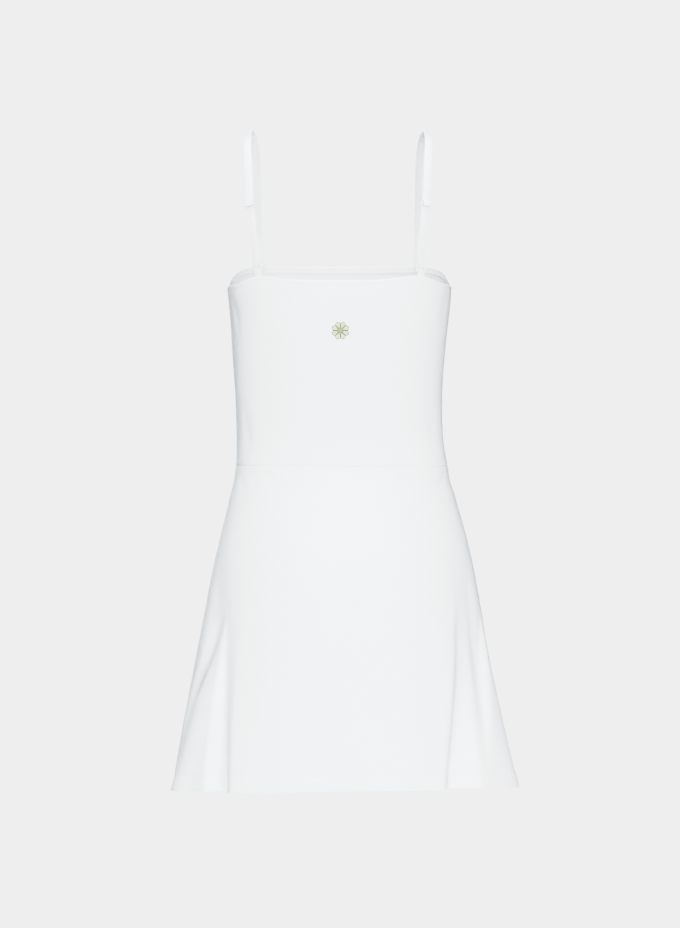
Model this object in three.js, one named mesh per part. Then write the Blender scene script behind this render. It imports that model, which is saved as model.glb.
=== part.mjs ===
// A sleeveless sports dress in white stretch jersey, open and hollow as if worn, with narrow straps.
// Millimetres, +Z up. The dress is seen from -Y, which is the wearer's back, and +X is that view's right.
// The origin lies midway between the crowns of the two straps, level with their undersides.
// "Drop" is a distance below the origin. "Turn" is an angle round the body in degrees: 0 is the right
// side seam, 90 the middle of the front, 180 the left side seam and 270 the middle of the back.
import * as THREE from "three";

// Cloth and seams
const CLOTH = 1.5;
const SEAM_GAP = 0.3;
const SEWN_GAP = 0.5; // between a panel and the middle of a strap or tab sewn inside it
const WAIST_DROP = 422.5;

// Straps and their hardware
const STRAP_WIDTH = 10;
const STRAP_CLOTH = 1.0;
const SLIDER = { width: 14, bar: 1.2, middle: 1.4, slot: 2.9, plate: 1.4, corner: 1.6, slotCorner: 0.5 };
const RING = { width: 14, height: 9, bar: 1.6, corner: 2.2, holeCorner: 0.7 };
const SLIDER_ABOVE_RING = 82;
const RING_ABOVE_EDGE = 10;
const SEWN_DEPTH = 12; // how far a strap or tab end is sewn down inside a top edge
const STRAP_TURN = { back: 45.5, front: 46 }; // from the side seam to where a strap meets each edge
const STRAP_BEND = 0.75; // corner radius where a strap turns sharply
const STRAP_EASE = 10; // length over which its two layers part beside the hardware

// Strap layers, outwards from the strap's own middle line
const LAYER = STRAP_CLOTH + SEAM_GAP;
const SLIDER_OUT = SLIDER.plate / 2 + SEAM_GAP + STRAP_CLOTH / 2;
const RING_OUT = -LAYER / 2;
const RING_LOOP = RING.bar / 2 + SEAM_GAP + STRAP_CLOTH / 2;

// Level sections of the body that the dress is cut for: half width, sideways lean of the middle,
// and depth behind and in front of the side seams
const SECTIONS = [
  { drop: 150, half: 137, lean: -0.6, back: 96, front: 99 },
  { drop: 195, half: 142.0, lean: -0.6, back: 101, front: 110 },
  { drop: 236, half: 138.7, lean: -0.8, back: 100, front: 118 },
  { drop: 287, half: 134.4, lean: -1.9, back: 95, front: 117 },
  { drop: 338, half: 131.4, lean: -1.6, back: 88, front: 107 },
  { drop: 388, half: 131.2, lean: -0.1, back: 83, front: 99 },
  { drop: 422.5, half: 134.6, lean: 2.2, back: 85, front: 99 },
  { drop: 440, half: 137.0, lean: 2.4, back: 89, front: 101 },
  { drop: 464, half: 143.9, lean: 3.5, back: 96, front: 104 },
  { drop: 540, half: 163.0, lean: 4.4, back: 119, front: 114 },
  { drop: 616, half: 177.6, lean: 3.7, back: 132, front: 123 },
  { drop: 693, half: 192.6, lean: 4.4, back: 140, front: 132 },
  { drop: 770, half: 208.4, lean: 5.2, back: 147, front: 140 },
  { drop: 831, half: 222.0, lean: 7.3, back: 152, front: 146 },
];
const SQUARENESS = 2.3; // 2 would be an ellipse

// Top edges and hems round the body. The back's top edge rises to a point under each strap.
const FRONT_EDGE = [
  { turn: 0, drop: 195 },
  { turn: 6, drop: 189 },
  { turn: 14, drop: 180 },
  { turn: 24, drop: 171.5 },
  { turn: 38, drop: 166.5 },
  { turn: 60, drop: 165 },
  { turn: 120, drop: 165 },
  { turn: 142, drop: 166.5 },
  { turn: 156, drop: 171.5 },
  { turn: 166, drop: 180 },
  { turn: 174, drop: 189 },
  { turn: 180, drop: 195 },
];
const BACK_EDGE = [
  { turn: 180, drop: 195 },
  { turn: 208, drop: 193 },
  { turn: 220, drop: 187 },
  { turn: 226, drop: 184.5 },
  { turn: 236, drop: 186.5 },
  { turn: 252, drop: 190 },
  { turn: 270, drop: 190.8 },
  { turn: 286, drop: 190.4 },
  { turn: 298, drop: 187.3 },
  { turn: 309, drop: 184.8 },
  { turn: 316, drop: 185.2 },
  { turn: 332, drop: 192 },
  { turn: 360, drop: 195 },
];
const FRONT_HEM = [
  { turn: 0, drop: 829 },
  { turn: 90, drop: 827 },
  { turn: 180, drop: 831 },
];
const BACK_HEM = [
  { turn: 180, drop: 831 },
  { turn: 200, drop: 830.5 },
  { turn: 216, drop: 828 },
  { turn: 225, drop: 829 },
  { turn: 240, drop: 827 },
  { turn: 270, drop: 824 },
  { turn: 305, drop: 823.5 },
  { turn: 316, drop: 822.5 },
  { turn: 340, drop: 826 },
  { turn: 360, drop: 829 },
];

// Flutes of the skirt: the turn where each one starts and where it meets the hem, its reach out there
// (or in, if negative), the turn it takes up before and after its middle, and the drop where it starts
const FLUTES = [
  { start: -2, hem: 2, reach: -16, before: 14, after: 15, from: 600 },
  { start: 26, hem: 26, reach: 5, before: 14, after: 16, from: 640 },
  { start: 45, hem: 51, reach: -20, before: 11, after: 9, from: 610 },
  { start: 90, hem: 90, reach: -4, before: 16, after: 14, from: 640 },
  { start: 134, hem: 129, reach: -21, before: 9, after: 11, from: 600 },
  { start: 155, hem: 155, reach: 4, before: 14, after: 14, from: 620 },
  { start: 214, hem: 184, reach: -21, before: 14, after: 10, from: 585 },
  { start: 212, hem: 204, reach: 9, before: 12, after: 13, from: 640 },
  { start: 219, hem: 228, reach: -24, before: 10, after: 7, from: 610 },
  { start: 266, hem: 266, reach: -4, before: 10, after: 12, from: 650 },
  { start: 321, hem: 308, reach: -24, before: 7.5, after: 13, from: 600 },
  { start: 336, hem: 336, reach: 6, before: 14, after: 14, from: 620 },
];
const FLUTE_GROWTH = 1.5; // how late a flute deepens on its way down

// Middle line of the right strap, from the front edge over the shoulder to the back. Its width runs outwards,
// turned towards the back by "swing" and down by "slope" degrees.
const STRAP_LEAN = -2.5;
const STRAP_LINE = [
  { x: 103, y: 76, z: -122, swing: 28, slope: 0 },
  { x: 103.5, y: 63, z: -74, swing: 24, slope: 3 },
  { x: 104.5, y: 44, z: -32, swing: 14, slope: 12 },
  { x: 107.5, y: 23, z: -8, swing: 4, slope: 22 },
  { x: 112, y: 0, z: 0.5, swing: 0, slope: 26 },
  { x: 114.5, y: -23, z: -8, swing: -4, slope: 22 },
  { x: 113.5, y: -43, z: -34, swing: -10, slope: 12 },
  { x: 111.8, y: -59, z: -78, swing: -18, slope: 4 },
  { x: 108.6, y: -66.5, z: -112, swing: -25, slope: 0 },
  { x: 105.9, y: -70.5, z: -138, swing: -32, slope: 0 },
  { x: 103.6, y: -71.8, z: -160, swing: -37, slope: 0 },
];

// Mesh steps
const BODICE_ROWS = 10;
const BODICE_CROWDING = 1.35; // its rows lie closer together near the top edge
const BODICE_STEP = 4.5;
const SKIRT_ROWS = 15;
const SKIRT_WIDE_STEP = 5;
const SKIRT_FINE_STEP = 2;
const SKIRT_FINE_UP_TO = 62; // the flutes lie within this turn of each side seam
const STRAP_STEPS = 26;
const BEND_STEPS = 3;
const SHARP = 0.5; // radians: a strap's corner sharper than this takes all the bend's steps

const WHITE = 0xf4f5f6;
const jersey = new THREE.MeshStandardMaterial({ color: WHITE, roughness: 0.85, metalness: 0 });
const elastic = new THREE.MeshStandardMaterial({ color: WHITE, roughness: 0.7, metalness: 0 });
const plastic = new THREE.MeshStandardMaterial({ color: 0xeff0f0, roughness: 0.35, metalness: 0 });

const radians = THREE.MathUtils.degToRad;
const power = (value, exponent) => Math.sign(value) * Math.abs(value) ** exponent;

// A smooth curve through one column of a table whose rows rise in another column.
function curve(rows, column, along) {
  const at = rows.map((row) => row[along]);
  const value = rows.map((row) => row[column]);
  const last = rows.length - 1;
  const slope = at.map((_, i) => {
    const a = Math.max(i - 1, 0);
    const b = Math.min(i + 1, last);
    return (value[b] - value[a]) / (at[b] - at[a]);
  });
  return (x) => {
    let i = 0;
    while (i < last - 1 && x > at[i + 1]) i += 1;
    const step = at[i + 1] - at[i];
    const t = THREE.MathUtils.clamp((x - at[i]) / step, 0, 1);
    const rise = t * t * (3 - 2 * t);
    const bend = step * t * (1 - t) * ((1 - t) * slope[i] - t * slope[i + 1]);
    return value[i] + (value[i + 1] - value[i]) * rise + bend;
  };
}

const section = Object.fromEntries(
  ["half", "lean", "back", "front"].map((name) => [name, curve(SECTIONS, name, "drop")]),
);

// One flute's reach at a turn and drop, fading smoothly at its sides.
function fluteReach(flute, turn, drop) {
  const down = (drop - flute.from) / (SECTIONS.at(-1).drop - flute.from);
  if (down <= 0) return 0;
  const middle = THREE.MathUtils.lerp(flute.start, flute.hem, Math.min(down, 1));
  const away = THREE.MathUtils.euclideanModulo(turn - middle + 180, 360) - 180;
  const across = away / (away < 0 ? flute.before : flute.after);
  if (Math.abs(across) >= 1) return 0;
  return flute.reach * down ** FLUTE_GROWTH * 0.5 * (1 + Math.cos(Math.PI * across));
}

// A point on the outer face of the dress.
function skin(turn, drop) {
  const c = Math.cos(radians(turn));
  const s = Math.sin(radians(turn));
  const half = section.half(drop);
  const deep = s < 0 ? section.back(drop) : section.front(drop);
  const x = power(c, 2 / SQUARENESS);
  const y = power(s, 2 / SQUARENESS);
  const outward = new THREE.Vector2(
    power(x, SQUARENESS - 1) / half,
    power(y, SQUARENESS - 1) / deep,
  ).normalize();
  const out = FLUTES.reduce((sum, flute) => sum + fluteReach(flute, turn, drop), 0);
  return new THREE.Vector3(
    section.lean(drop) + x * half + outward.x * out,
    y * deep + outward.y * out,
    -drop,
  );
}

// The outward direction of the skin.
function skinNormal(turn, drop) {
  const round = skin(turn + 0.5, drop).sub(skin(turn - 0.5, drop));
  const down = skin(turn, drop + 1).sub(skin(turn, drop - 1));
  return down.cross(round).normalize();
}

// The turn that lies a given distance round from a side seam, close to it.
function seamTurn(drop, distance) {
  const deep = section.back(drop);
  return THREE.MathUtils.radToDeg(Math.asin((distance / deep) ** (SQUARENESS / 2)));
}

// A closed wall between two grids of points with the same rows and columns.
function wall(outer, inner) {
  const rows = outer.length;
  const columns = outer[0].length;
  const points = [...outer.flat(), ...inner.flat()];
  const faces = [];
  const at = (side, row, column) => side * rows * columns + row * columns + column;
  // Each quad is split along its shorter diagonal.
  const quad = (a, b, c, d) => {
    const level = points[a].distanceTo(points[c]) <= points[b].distanceTo(points[d]);
    faces.push(...(level ? [a, b, c, a, c, d] : [a, b, d, b, c, d]));
  };
  for (let r = 0; r < rows - 1; r += 1) {
    for (let c = 0; c < columns - 1; c += 1) {
      quad(at(0, r, c), at(0, r + 1, c), at(0, r + 1, c + 1), at(0, r, c + 1));
      quad(at(1, r, c), at(1, r, c + 1), at(1, r + 1, c + 1), at(1, r + 1, c));
    }
    const end = columns - 1;
    quad(at(0, r, 0), at(1, r, 0), at(1, r + 1, 0), at(0, r + 1, 0));
    quad(at(0, r, end), at(0, r + 1, end), at(1, r + 1, end), at(1, r, end));
  }
  for (let c = 0; c < columns - 1; c += 1) {
    const foot = rows - 1;
    quad(at(0, 0, c), at(0, 0, c + 1), at(1, 0, c + 1), at(1, 0, c));
    quad(at(0, foot, c), at(1, foot, c), at(1, foot, c + 1), at(0, foot, c + 1));
  }
  return closedGeometry(points, faces);
}

function closedGeometry(points, faces) {
  const geometry = new THREE.BufferGeometry().setFromPoints(points);
  geometry.setIndex(faces);
  geometry.computeVertexNormals();
  return geometry;
}

// A panel of cloth between two side seams, from its top edge down to its bottom edge.
function panel(turns, rows, crowding, topDrop, bottomDrop) {
  const outer = [];
  const inner = [];
  for (let r = 0; r <= rows; r += 1) {
    const share = (r / rows) ** crowding;
    const line = turns.map((nominal, i) => {
      const drop = THREE.MathUtils.lerp(topDrop(nominal), bottomDrop(nominal), share);
      const edge = seamTurn(drop, SEAM_GAP / 2);
      const turn = i === 0 ? nominal + edge : i === turns.length - 1 ? nominal - edge : nominal;
      return { point: skin(turn, drop), normal: skinNormal(turn, drop) };
    });
    outer.push(line.map(({ point }) => point));
    inner.push(line.map(({ point, normal }) => point.clone().addScaledVector(normal, -CLOTH)));
  }
  return wall(outer, inner);
}

// Turns from one side seam to the other, in even steps.
function evenTurns(start, step) {
  const count = Math.round(180 / step);
  return Array.from({ length: count + 1 }, (_, i) => start + (i * 180) / count);
}

// Turns from one side seam to the other, closer together where the flutes are.
function flutedTurns(start) {
  const fine = Math.round(SKIRT_FINE_UP_TO / SKIRT_FINE_STEP);
  const middle = 180 - 2 * SKIRT_FINE_UP_TO;
  const wide = Math.round(middle / SKIRT_WIDE_STEP);
  const side = Array.from({ length: fine }, (_, i) => (i * SKIRT_FINE_UP_TO) / fine);
  const centre = Array.from({ length: wide + 1 }, (_, i) => SKIRT_FINE_UP_TO + (i * middle) / wide);
  const all = [...side, ...centre, ...side.map((turn) => 180 - turn).reverse()];
  return all.map((turn) => start + turn);
}

const frontEdge = curve(FRONT_EDGE, "drop", "turn");
const backEdge = curve(BACK_EDGE, "drop", "turn");
const frontHem = curve(FRONT_HEM, "drop", "turn");
const backHem = curve(BACK_HEM, "drop", "turn");
const aboveWaist = () => WAIST_DROP - SEAM_GAP / 2;
const belowWaist = () => WAIST_DROP + SEAM_GAP / 2;

function bodicePanel(start, topDrop) {
  return panel(evenTurns(start, BODICE_STEP), BODICE_ROWS, BODICE_CROWDING, topDrop, aboveWaist);
}

// A point inside a panel, against which a strap or tab end is sewn.
function insidePoint(turn, drop, depth) {
  return skin(turn, drop).addScaledVector(skinNormal(turn, drop), -depth);
}

// The direction round a panel, pointing away from the middle of the dress on one side.
function outwardRound(side, turn, drop) {
  const round = skin(turn + 0.5, drop).sub(skin(turn - 0.5, drop)).normalize();
  return round.x * side > 0 ? round : round.negate();
}

// The direction of a strap's width at one row of its table.
function strapAcross(side, { swing, slope }) {
  const out = new THREE.Vector3(side * Math.cos(radians(slope)), 0, -Math.sin(radians(slope)));
  return out.applyAxisAngle(new THREE.Vector3(0, 0, 1), -side * radians(swing));
}

// The line of a strap from inside the front panel, over the shoulder, to where its tab is sewn inside the
// back panel, with the directions along it, across it and out from the body at each place.
class StrapFrame {
  constructor(side) {
    this.side = side;
    const frontTurn = side > 0 ? STRAP_TURN.front : 180 - STRAP_TURN.front;
    const backTurn = side > 0 ? 360 - STRAP_TURN.back : 180 + STRAP_TURN.back;
    const frontDrop = frontEdge(frontTurn);
    const backDrop = backEdge(backTurn);
    const sewn = CLOTH + SEWN_GAP + STRAP_CLOTH / 2;
    this.points = [
      insidePoint(frontTurn, frontDrop + SEWN_DEPTH, sewn),
      insidePoint(frontTurn, frontDrop, sewn),
      ...STRAP_LINE.map(({ x, y, z }) => new THREE.Vector3(side * x + STRAP_LEAN, y, z)),
      insidePoint(backTurn, backDrop, sewn + STRAP_CLOTH),
      insidePoint(backTurn, backDrop + SEWN_DEPTH, sewn + STRAP_CLOTH),
    ];
    const atFront = outwardRound(side, frontTurn, frontDrop);
    const atBack = outwardRound(side, backTurn, backDrop);
    const between = STRAP_LINE.map((row) => strapAcross(side, row));
    this.across = [atFront, atFront, ...between, atBack, atBack];
    this.path = new THREE.CatmullRomCurve3(this.points, false, "centripetal");
    this.length = this.path.getLength();
  }

  // The frame a given length along the line from its front end.
  at(length) {
    const share = THREE.MathUtils.clamp(length / this.length, 0, 1);
    const t = this.path.getUtoTmapping(share);
    const middle = this.path.getPoint(t);
    const along = this.path.getTangent(t);
    const place = t * (this.points.length - 1);
    const i = Math.min(Math.floor(place), this.points.length - 2);
    const across = this.across[i].clone().lerp(this.across[i + 1], place - i);
    across.addScaledVector(along, -across.dot(along)).normalize();
    const out = along.clone().cross(across).multiplyScalar(this.side);
    return { middle, along, across, out };
  }
}

// Rounds the corners of a line of [length, out] pairs with arcs of the given radius.
function rounded(line, radius) {
  const smooth = [new THREE.Vector2(...line[0])];
  for (let i = 1; i < line.length - 1; i += 1) {
    const [before, corner, after] = line.slice(i - 1, i + 2).map((p) => new THREE.Vector2(...p));
    const arrive = corner.clone().sub(before);
    const leave = after.clone().sub(corner);
    const bend = Math.abs(arrive.angle() - leave.angle());
    const turn = Math.min(bend, 2 * Math.PI - bend);
    const cut = Math.min(radius * Math.tan(turn / 2), arrive.length() / 2, leave.length() / 2);
    const start = corner.clone().addScaledVector(arrive.normalize(), -cut);
    const end = corner.clone().addScaledVector(leave.normalize(), cut);
    const arc = new THREE.QuadraticBezierCurve(start, corner, end);
    smooth.push(...arc.getPoints(turn > SHARP ? BEND_STEPS : 1));
  }
  smooth.push(new THREE.Vector2(...line.at(-1)));
  return smooth;
}

// A flat ribbon that follows a line of [length, out] points in a strap's frame.
function ribbon(frame, line) {
  const corners = [];
  line.forEach((point, i) => {
    const before = line[Math.max(i - 1, 0)];
    const after = line[Math.min(i + 1, line.length - 1)];
    const heading = after.clone().sub(before).normalize();
    const { middle, along, across, out } = frame.at(point.x);
    const centre = middle.clone().addScaledVector(out, point.y);
    const face = along.clone().multiplyScalar(-heading.y).addScaledVector(out, heading.x);
    const half = STRAP_WIDTH / 2;
    const thick = STRAP_CLOTH / 2;
    for (const [a, b] of [[1, 1], [-1, 1], [-1, -1], [1, -1]]) {
      corners.push(centre.clone().addScaledVector(across, a * half).addScaledVector(face, b * thick));
    }
  });
  return tube(corners, line.length, frame.side > 0);
}

// A closed bar with four corners at each station.
function tube(corners, stations, facing) {
  const faces = [];
  const quad = (a, b, c, d) => (facing ? faces.push(a, b, c, a, c, d) : faces.push(a, c, b, a, d, c));
  for (let i = 0; i < stations - 1; i += 1) {
    for (let k = 0; k < 4; k += 1) {
      const next = (k + 1) % 4;
      quad(4 * i + k, 4 * i + next, 4 * i + 4 + next, 4 * i + 4 + k);
    }
  }
  const last = 4 * (stations - 1);
  quad(3, 2, 1, 0);
  quad(last, last + 1, last + 2, last + 3);
  return closedGeometry(corners, faces);
}

// How far along a strap's line the back panel's edge, the ring and the slider are.
function places(frame) {
  const edge = frame.length - SEWN_DEPTH;
  const ring = edge - RING_ABOVE_EDGE;
  return { edge, ring, slider: ring - SLIDER_ABOVE_RING };
}

// The strap runs from the front edge over the shoulder, weaves through the slider, turns round the ring's
// upper bar and comes back up inside itself to wrap the slider's middle bar.
function strapGeometry(frame) {
  const { ring, slider } = places(frame);
  const wrap = SLIDER.middle / 2 + SEAM_GAP + STRAP_CLOTH / 2;
  const slot = wrap + LAYER;
  const wrapOut = 2 * SLIDER_OUT;
  const frontOut = wrapOut + LAYER;
  const bar = ring - (RING.height - RING.bar) / 2;
  const halfway = (slider + bar) / 2;
  const over = slider - slot - STRAP_EASE / 2;
  const line = [
    ...Array.from({ length: STRAP_STEPS + 1 }, (_, i) => [(i / STRAP_STEPS) * over, 0]),
    [slider - slot, 0],
    [slider - slot, frontOut],
    [slider + slot, frontOut],
    [slider + slot, 0],
    [slider + slot + STRAP_EASE, 0],
    [halfway, 0],
    [bar - 2 * STRAP_EASE, 0],
    [bar - STRAP_EASE, 0],
    [bar - RING_LOOP, RING_OUT + RING_LOOP],
    [bar + RING_LOOP, RING_OUT + RING_LOOP],
    [bar + RING_LOOP, RING_OUT - RING_LOOP],
    [bar - RING_LOOP, RING_OUT - RING_LOOP],
    [bar - STRAP_EASE, -LAYER],
    [bar - 2 * STRAP_EASE, -LAYER],
    [halfway, -LAYER],
    [slider + slot + STRAP_EASE, -LAYER],
    [slider + wrap, -LAYER],
    [slider + wrap, wrapOut],
    [slider - wrap, wrapOut],
    [slider - wrap, 0],
    [slider + wrap - LAYER, 0],
  ];
  return ribbon(frame, rounded(line, STRAP_BEND));
}

// The tab is a short loop of the same elastic, round the ring's lower bar and sewn inside the back's edge.
function tabGeometry(frame) {
  const { edge, ring } = places(frame);
  const bar = ring + (RING.height - RING.bar) / 2;
  const outer = STRAP_CLOTH;
  const inner = outer - LAYER;
  const justInside = edge + 1;
  const sewnEnd = frame.length - 0.5;
  const line = [
    [sewnEnd, outer],
    [justInside, outer],
    [bar + RING_LOOP, RING_OUT + RING_LOOP],
    [bar - RING_LOOP, RING_OUT + RING_LOOP],
    [bar - RING_LOOP, RING_OUT - RING_LOOP],
    [bar + RING_LOOP, RING_OUT - RING_LOOP],
    [justInside, inner],
    [sewnEnd, inner],
  ];
  return ribbon(frame, rounded(line, STRAP_BEND));
}

// The outline of a box with rounded corners, about a point at a height.
function roundedBox(width, height, corner, steps, level = 0) {
  const [a, b] = [width / 2 - corner, height / 2 - corner];
  const points = [];
  [[a, b], [-a, b], [-a, -b], [a, -b]].forEach(([x, y], quarter) => {
    for (let i = 0; i <= steps; i += 1) {
      const angle = (quarter + i / steps) * (Math.PI / 2);
      points.push(
        new THREE.Vector2(x + corner * Math.cos(angle), level + y + corner * Math.sin(angle)),
      );
    }
  });
  return points;
}

// A flat plate with slots, lying in its own XY plane with the strap running along Y.
function plateGeometry(width, height, corner, thickness, slots) {
  const shape = new THREE.Shape(roundedBox(width, height, corner, 4));
  for (const slot of slots) {
    shape.holes.push(new THREE.Path(roundedBox(slot.width, slot.height, slot.corner, 2, slot.level)));
  }
  const plate = new THREE.ExtrudeGeometry(shape, { depth: thickness, bevelEnabled: false });
  return plate.translate(0, 0, -thickness / 2);
}

function sliderGeometry() {
  const height = 2 * SLIDER.bar + 2 * SLIDER.slot + SLIDER.middle;
  const level = (SLIDER.middle + SLIDER.slot) / 2;
  const slot = { width: SLIDER.width - 2 * SLIDER.bar, height: SLIDER.slot, corner: SLIDER.slotCorner };
  const slots = [{ ...slot, level }, { ...slot, level: -level }];
  return plateGeometry(SLIDER.width, height, SLIDER.corner, SLIDER.plate, slots);
}

function ringGeometry() {
  const { width, height, bar, corner, holeCorner } = RING;
  const hole = { width: width - 2 * bar, height: height - 2 * bar, corner: holeCorner };
  return plateGeometry(width, height, corner, bar, [hole]);
}

function named(name, geometry, material) {
  const mesh = new THREE.Mesh(geometry, material);
  mesh.name = name;
  return mesh;
}

// Sets a plate into a strap's frame, a given length along it and out from it.
function seated(mesh, frame, length, out) {
  const at = frame.at(length);
  const across = at.across.clone().multiplyScalar(frame.side);
  mesh.quaternion.setFromRotationMatrix(
    new THREE.Matrix4().makeBasis(across, at.along.clone().negate(), at.out.clone()),
  );
  mesh.position.copy(at.middle).addScaledVector(at.out, out);
  return mesh;
}

function strapGroup(side, label) {
  const frame = new StrapFrame(side);
  const { ring, slider } = places(frame);
  const group = new THREE.Group();
  group.add(
    named(`strap_${label}`, strapGeometry(frame), elastic),
    named(`strap_tab_${label}`, tabGeometry(frame), elastic),
    seated(named(`slider_${label}`, sliderGeometry(), plastic), frame, slider, SLIDER_OUT),
    seated(named(`ring_${label}`, ringGeometry(), plastic), frame, ring, RING_OUT),
  );
  return group;
}

const dress = new THREE.Group();
dress.add(
  named("bodice_back", bodicePanel(180, backEdge), jersey),
  named("bodice_front", bodicePanel(0, frontEdge), jersey),
  named("skirt_back", panel(flutedTurns(180), SKIRT_ROWS, 1, belowWaist, backHem), jersey),
  named("skirt_front", panel(flutedTurns(0), SKIRT_ROWS, 1, belowWaist, frontHem), jersey),
  strapGroup(-1, "left"),
  strapGroup(1, "right"),
);

export default dress;
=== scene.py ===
"""A sleeveless sports dress in white stretch jersey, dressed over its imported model.

The cloth's tables are in millimetres and become metres as a mesh is made. "Drop" is a distance below
the crowns of the straps. "Turn" is an angle round the body in degrees: 0 is the right side seam, 90 the
middle of the front, 180 the left side seam and 270 the middle of the back, which faces the camera.
"""

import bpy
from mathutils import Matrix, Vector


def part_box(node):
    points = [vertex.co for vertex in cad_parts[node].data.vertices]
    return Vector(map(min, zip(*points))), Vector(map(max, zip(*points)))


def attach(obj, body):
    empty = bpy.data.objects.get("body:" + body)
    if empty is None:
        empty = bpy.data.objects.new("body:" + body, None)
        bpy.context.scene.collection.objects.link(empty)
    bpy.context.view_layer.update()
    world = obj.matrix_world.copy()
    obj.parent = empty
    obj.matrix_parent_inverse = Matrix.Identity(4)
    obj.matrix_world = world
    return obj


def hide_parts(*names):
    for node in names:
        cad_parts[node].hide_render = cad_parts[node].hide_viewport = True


bl_info = {
    "name": "Sports dress",
    "version": (1, 0, 0),
    "blender": (4, 5, 0),
    "location": "View3D > Sidebar > Sports dress",
    "description": "Jersey panels, elastic straps, stitching and a pale studio for a sports dress",
    "category": "Object",
}

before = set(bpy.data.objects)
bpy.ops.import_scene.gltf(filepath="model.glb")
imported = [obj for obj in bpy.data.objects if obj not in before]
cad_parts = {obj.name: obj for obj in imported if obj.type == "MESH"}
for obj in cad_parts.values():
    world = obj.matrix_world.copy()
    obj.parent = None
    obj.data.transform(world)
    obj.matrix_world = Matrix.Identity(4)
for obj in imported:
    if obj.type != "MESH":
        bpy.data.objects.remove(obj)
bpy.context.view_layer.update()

import math

import bmesh
import bpy
import numpy as np
from bpy.props import FloatProperty, FloatVectorProperty, IntProperty, PointerProperty
from mathutils import Matrix, Vector

MM = 0.001

# The body that the dress is cut for: drop, half width, sideways lean of its middle, and its depths behind
# and in front
SECTIONS = np.array([
    (150, 137.0, -0.6, 96, 99),
    (195, 142.0, -0.6, 101, 110),
    (236, 138.7, -0.8, 100, 118),
    (287, 134.4, -1.9, 95, 117),
    (338, 131.4, -1.6, 88, 107),
    (388, 131.2, -0.1, 83, 99),
    (422.5, 134.6, 2.2, 85, 99),
    (440, 137.0, 2.4, 89, 101),
    (464, 143.9, 3.5, 96, 104),
    (540, 163.0, 4.4, 119, 114),
    (616, 177.6, 3.7, 132, 123),
    (693, 192.6, 4.4, 140, 132),
    (770, 208.4, 5.2, 147, 140),
    (831, 222.0, 7.3, 152, 146),
])
HALF, LEAN, BEHIND, IN_FRONT = 1, 2, 3, 4
SQUARENESS = 2.3
WAIST = 422.5
LOWEST = 831

# Top edges and hems: turn, drop
FRONT_EDGE = np.array([
    (0, 195), (6, 189), (14, 180), (24, 171.5), (38, 166.5), (60, 165),
    (120, 165), (142, 166.5), (156, 171.5), (166, 180), (174, 189), (180, 195),
])
BACK_EDGE = np.array([
    (180, 195), (208, 193), (220, 187), (226, 184.5), (236, 186.5), (252, 190), (270, 190.8),
    (286, 190.4), (298, 187.3), (309, 184.8), (316, 185.2), (332, 192), (360, 195),
])
FRONT_HEM = np.array([(0, 829), (90, 827), (180, 831)])
BACK_HEM = np.array([
    (180, 831), (200, 830.5), (216, 828), (225, 829), (240, 827),
    (270, 824), (305, 823.5), (316, 822.5), (340, 826), (360, 829),
])

# Flutes of the skirt: turn at the start, turn at the hem, reach out there, turn taken up before and after
# the middle, drop where it starts
FLUTES = (
    (-2, 2, -16, 14, 15, 600),
    (26, 26, 5, 14, 16, 640),
    (45, 51, -20, 11, 9, 610),
    (90, 90, -4, 16, 14, 640),
    (134, 129, -21, 9, 11, 600),
    (155, 155, 4, 14, 14, 620),
    (216, 179, -17, 7, 9, 565),
    (213, 199, 7, 12, 13, 620),
    (216, 222.8, -31, 3.4, 11, 592),
    (266, 266, -4, 10, 12, 650),
    (329, 306, -29, 7, 11.5, 565),
    (349, 343, 5, 17, 8, 575),
)
FLUTE_GROWTH = 1.5

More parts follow.
